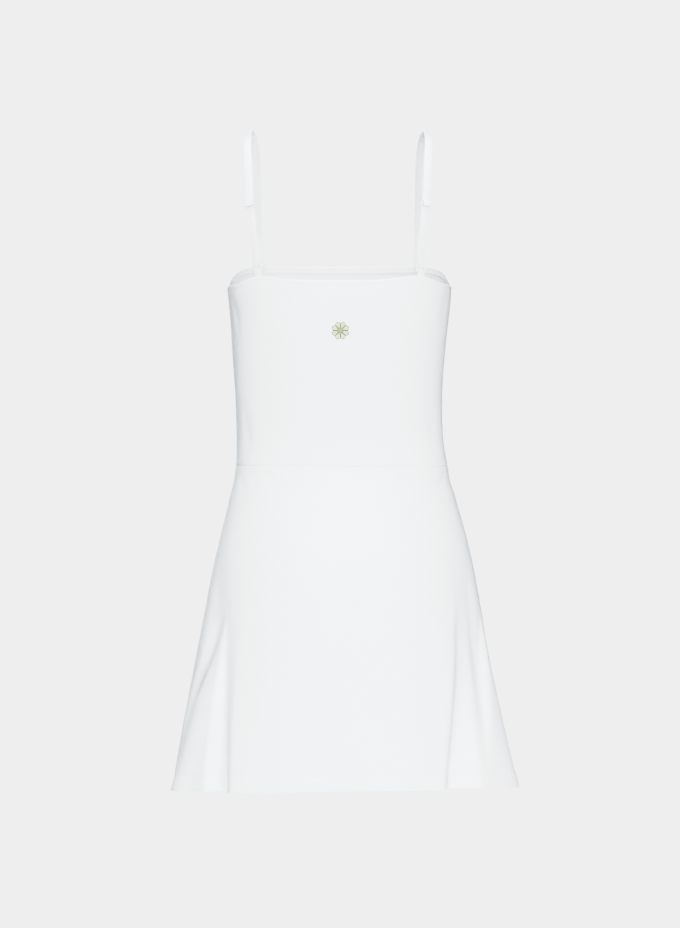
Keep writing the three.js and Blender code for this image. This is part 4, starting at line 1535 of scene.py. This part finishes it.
class DRESS_OT_stitching(bpy.types.Operator):
    """Sews the top edge, the hem and the tacks"""

    bl_idname = "dress.make_stitching"
    bl_label = "Make stitching"

    def execute(self, context):
        cloth, stitches = context.scene.dress_cloth, context.scene.dress_stitches
        thread = thread_material("sewing_thread", stitches.colour)
        tack = thread_material("tack_thread", stitches.tack_colour)
        made = panels(cloth)
        width, reach = in_mm(stitches.thread), in_mm(stitches.length)
        pitch = reach + in_mm(stitches.gap)
        plain, loops, tacks = Lines(), Lines(), Lines()
        for start, side in ((180, "back"), (0, "front")):
            turns = np.linspace(start + 0.8, start + 179.2, 700)
            bodice, skirt = made["bodice_" + side], made["skirt_" + side]
            drop = bodice.top(turns) + in_mm(cloth.top_stitch)
            points, normal = bodice.face(turns, drop)
            plain.add(points, normal, reach)
            points, normal = bodice.inner_face(turns, drop)
            plain.add(points, -normal, reach)
            for up in skirt.hem_rows():
                points, normal = skirt.face(turns, skirt.bottom(turns) - up)
                plain.add(points, normal, reach)
            middle = sum(skirt.hem_rows()) / 2
            points, normal = skirt.inner_face(turns, skirt.bottom(turns) - middle)
            loops.add(points, -normal, reach=4.6)
        plain.sew("edge_and_hem_stitches", pitch, width, thread, height=0.75)
        loops.sew("hem_looper_stitches", pitch=1.5, width=width, material=thread, slant=52, height=0.8)
        back, front = made["bodice_back"], made["bodice_front"]
        below = in_mm(cloth.top_stitch) + 0.1
        self.tack(tacks, back, *MIDDLE_TACK, below, reach=2.5)
        for turn in (180 + STRAP_TURN["back"] + LEFT_TACK_ASIDE, 360 - STRAP_TURN["back"]):
            self.tack(tacks, back, turn - HALF_TACK, turn + HALF_TACK, below, reach=1.9)
        for turn in (STRAP_TURN["front"], 180 - STRAP_TURN["front"]):
            self.tack(tacks, front, turn - HALF_TACK, turn + HALF_TACK, below, reach=1.9)
        tacks.sew("tacks", pitch=0.44, width=0.46, material=tack, slant=9, turn=90, height=0.8)
        return {"FINISHED"}

    @staticmethod
    def tack(lines, panel, turn_a, turn_b, below, reach):
        """One dense row of stitches between two turns, below the top edge."""
        turns = np.linspace(turn_a, turn_b, 24)
        points, normal = panel.face(turns, panel.top(turns) + below, inwards=-0.22)
        lines.add(points, normal, reach)


class DRESS_OT_flower(bpy.types.Operator):
    """Embroiders a small plain flower at the middle of the back"""

    bl_idname = "dress.make_flower"
    bl_label = "Make flower"

    def execute(self, context):
        flower = context.scene.dress_flower
        panel = panels(context.scene.dress_cloth)["bodice_back"]
        tip, middle = in_mm(flower.radius), in_mm(flower.drop)
        petals, outlines, knots = Lines(), Lines(), Lines()

        def on_cloth(x, y, lift):
            drop = middle - y
            return panel.face(turn_on_back(x + FLOWER_ASIDE, drop), drop, inwards=-lift)

        # petals start a quarter of the way out, and are a little wider than their share of the round
        root = tip * 0.25
        half = math.pi * (root + tip) / 2 / flower.petals * 1.08
        for k in range(flower.petals):
            angle = math.tau * (k + 0.5) / flower.petals
            ray, side = (math.cos(angle), math.sin(angle)), (-math.sin(angle), math.cos(angle))
            share = np.linspace(0, 1, 40)
            distance = root + (tip - root) * share
            width = half * np.sin(math.pi * share ** 1.35) ** 0.62
            points, normal = on_cloth(ray[0] * distance, ray[1] * distance, PETAL_LIFT)
            petals.add(points[1:-1], normal[1:-1], 2 * width[1:-1] + 0.25)
            for sign in (1, -1):
                edge = sign * (width + 0.18)
                points, normal = on_cloth(
                    ray[0] * distance + side[0] * edge, ray[1] * distance + side[1] * edge, OUTLINE_LIFT
                )
                outlines.add(points, normal, reach=1.15)
        for radius in CENTRE_RINGS:
            angle = np.linspace(0, math.tau, 30)[:-1]
            points, normal = on_cloth(radius * np.cos(angle), radius * np.sin(angle), CENTRE_LIFT)
            knots.add(points, normal, reach=0.95, closed=True)
        thread = thread_material("petal_thread", flower.fill, rough=0.42)
        petals.sew("flower_petals", pitch=0.40, width=0.50, material=thread, slant=3, turn=90, height=0.8)
        thread = thread_material("outline_thread", flower.outline, rough=0.42)
        outlines.sew("flower_outlines", pitch=0.82, width=0.56, material=thread, slant=6, height=0.8)
        thread = thread_material("centre_thread", flower.centre, rough=0.42)
        knots.sew("flower_centre", pitch=0.85, width=0.85, material=thread, slant=20, height=0.85)
        return {"FINISHED"}


class DRESS_OT_studio(bpy.types.Operator):
    """Sets up the pale floor, the soft lights and the camera"""

    bl_idname = "dress.make_studio"
    bl_label = "Make studio"

    def execute(self, context):
        studio, scene = context.scene.dress_studio, context.scene
        self.floor(studio)
        self.world(scene, studio)
        for name, (place, target, size) in LIGHTS.items():
            self.light(name + "_light", place, target, size, getattr(studio, name))
        camera = bpy.data.objects.new("camera", bpy.data.cameras.new("camera"))
        scene.collection.objects.link(camera)
        camera.data.lens = LENS
        camera.data.sensor_width = SENSOR_WIDTH
        camera.data.clip_end = 100
        camera.location = CAMERA_PLACE
        camera.rotation_euler = (math.pi / 2, 0, 0)
        scene.camera = camera
        self.tones(scene.view_settings)
        return {"FINISHED"}

    @staticmethod
    def tones(view):
        """Plain colours with a soft shoulder, so that white cloth keeps its form without glaring."""
        view.view_transform = "Standard"
        view.look = "None"
        view.use_curve_mapping = True
        curve = view.curve_mapping.curves[3]
        for place, level in TONE_CURVE:
            curve.points.new(place, level)
        curve.points[0].location = (0.0, 0.0)
        curve.points[-1].location = (1.0, BRIGHTEST)
        view.curve_mapping.update()

    @staticmethod
    def floor(studio):
        """A round pale floor that fades into the backdrop."""
        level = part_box("skirt_back")[0].z - studio.below
        radii, spokes = np.linspace(0, FLOOR_RADIUS, 14), 72
        points, faces = [(0, 0, level)], []
        for radius in radii[1:]:
            for k in range(spokes):
                angle = math.tau * k / spokes
                points.append((radius * math.cos(angle), radius * math.sin(angle), level))
        for k in range(spokes):
            faces.append((0, 1 + k, 1 + (k + 1) % spokes))
        for ring in range(len(radii) - 2):
            low, high = 1 + ring * spokes, 1 + (ring + 1) * spokes
            for k in range(spokes):
                n = (k + 1) % spokes
                faces.append((low + k, high + k, high + n, low + n))
        floor = make_mesh("floor", np.array(points) / MM, faces)
        made, g = new_material("pale_floor")
        place = g.place()
        parts = g.node("ShaderNodeSeparateXYZ", {}, {"Vector": place})
        reach = (parts * parts + parts.other("Y") * parts.other("Y")) ** 0.5
        fade = ((reach - FLOOR_FADES_FROM) / FLOOR_FADES_OVER).between(0, 1)
        grain = g.noise(place, 35, 3.0, 0.5)
        tone = g.blend(grain * 0.4, (0.86, 0.86, 0.86), (0.82, 0.82, 0.82))
        values = {"Base Color": tone, "Roughness": 0.9, "Emission Color": tone, "Emission Strength": 0.42}
        shader = g.node("ShaderNodeBsdfPrincipled", {}, values)
        clear = g.node("ShaderNodeBsdfTransparent")
        mixed = g.node("ShaderNodeMixShader", {}, {0: fade, 1: shader, 2: clear})
        g.node("ShaderNodeOutputMaterial", {}, {"Surface": mixed})
        floor.data.materials.append(made)

    @staticmethod
    def world(scene, studio):
        """An even pale backdrop, and a softer, warmer light from all round, weaker from behind."""
        world = bpy.data.worlds.new("studio_world")
        world.use_nodes = True
        world.node_tree.nodes.clear()
        g = Graph(world.node_tree)
        seen = g.node("ShaderNodeLightPath", {}, {}, output="Is Camera Ray")
        direction = g.node("ShaderNodeTexCoord", {}, {}, output="Generated")
        way = g.node("ShaderNodeSeparateXYZ", {}, {"Vector": direction})
        behind = (way.other("Y") * 1.6 + 0.5).between(0, 1)
        fill = studio.fill - behind * (studio.fill * (1 - studio.shade))
        tone = fill + seen * (studio.backdrop - fill)
        tint = g.blend(seen, FILL_COLOUR, (1.0, 1.0, 1.0))
        shade = g.node("ShaderNodeBackground", {}, {"Color": tint, "Strength": tone})
        g.node("ShaderNodeOutputWorld", {}, {"Surface": shade})
        scene.world = world

    @staticmethod
    def light(name, place, target, size, power_watts):
        """A round lamp at a place, turned to face another."""
        lamp = bpy.data.lights.new(name, "AREA")
        lamp.shape, lamp.size, lamp.energy = "DISK", size, power_watts
        lamp.color = LIGHT_COLOUR
        made = bpy.data.objects.new(name, lamp)
        made.location = place
        made.rotation_euler = (Vector(target) - Vector(place)).to_track_quat("-Z", "Y").to_euler()
        made.visible_camera = False
        bpy.context.scene.collection.objects.link(made)


class DRESS_PT_sidebar(bpy.types.Panel):
    """Lists the dress's pieces and their settings"""

    bl_label = "Sports dress"
    bl_idname = "DRESS_PT_sidebar"
    bl_space_type = "VIEW_3D"
    bl_region_type = "UI"
    bl_category = "Sports dress"

    def draw(self, context):
        for operator, group in STEPS:
            box = self.layout.box()
            box.operator(operator.bl_idname)
            settings = getattr(context.scene, group)
            for key in type(settings).__annotations__:
                box.prop(settings, key)


SETTINGS = (
    ("dress_cloth", DressClothSettings),
    ("dress_straps", DressStrapSettings),
    ("dress_hardware", DressHardwareSettings),
    ("dress_stitches", DressStitchSettings),
    ("dress_flower", DressFlowerSettings),
    ("dress_studio", DressStudioSettings),
)
STEPS = (
    (DRESS_OT_studio, "dress_studio"),
    (DRESS_OT_panels, "dress_cloth"),
    (DRESS_OT_allowances, "dress_cloth"),
    (DRESS_OT_straps, "dress_straps"),
    (DRESS_OT_stitching, "dress_stitches"),
    (DRESS_OT_flower, "dress_flower"),
)
CLASSES = (*(kind for _, kind in SETTINGS), *(operator for operator, _ in STEPS), DRESS_PT_sidebar)


def register():
    for kind in CLASSES:
        bpy.utils.register_class(kind)
    for name, kind in SETTINGS:
        setattr(bpy.types.Scene, name, PointerProperty(type=kind))


def unregister():
    for name, _ in SETTINGS:
        delattr(bpy.types.Scene, name)
    for kind in reversed(CLASSES):
        bpy.utils.unregister_class(kind)


def main():
    register()
    for operator, _ in STEPS:
        group, action = operator.bl_idname.split(".")
        getattr(getattr(bpy.ops, group), action)()


if __name__ == "__main__":
    main()
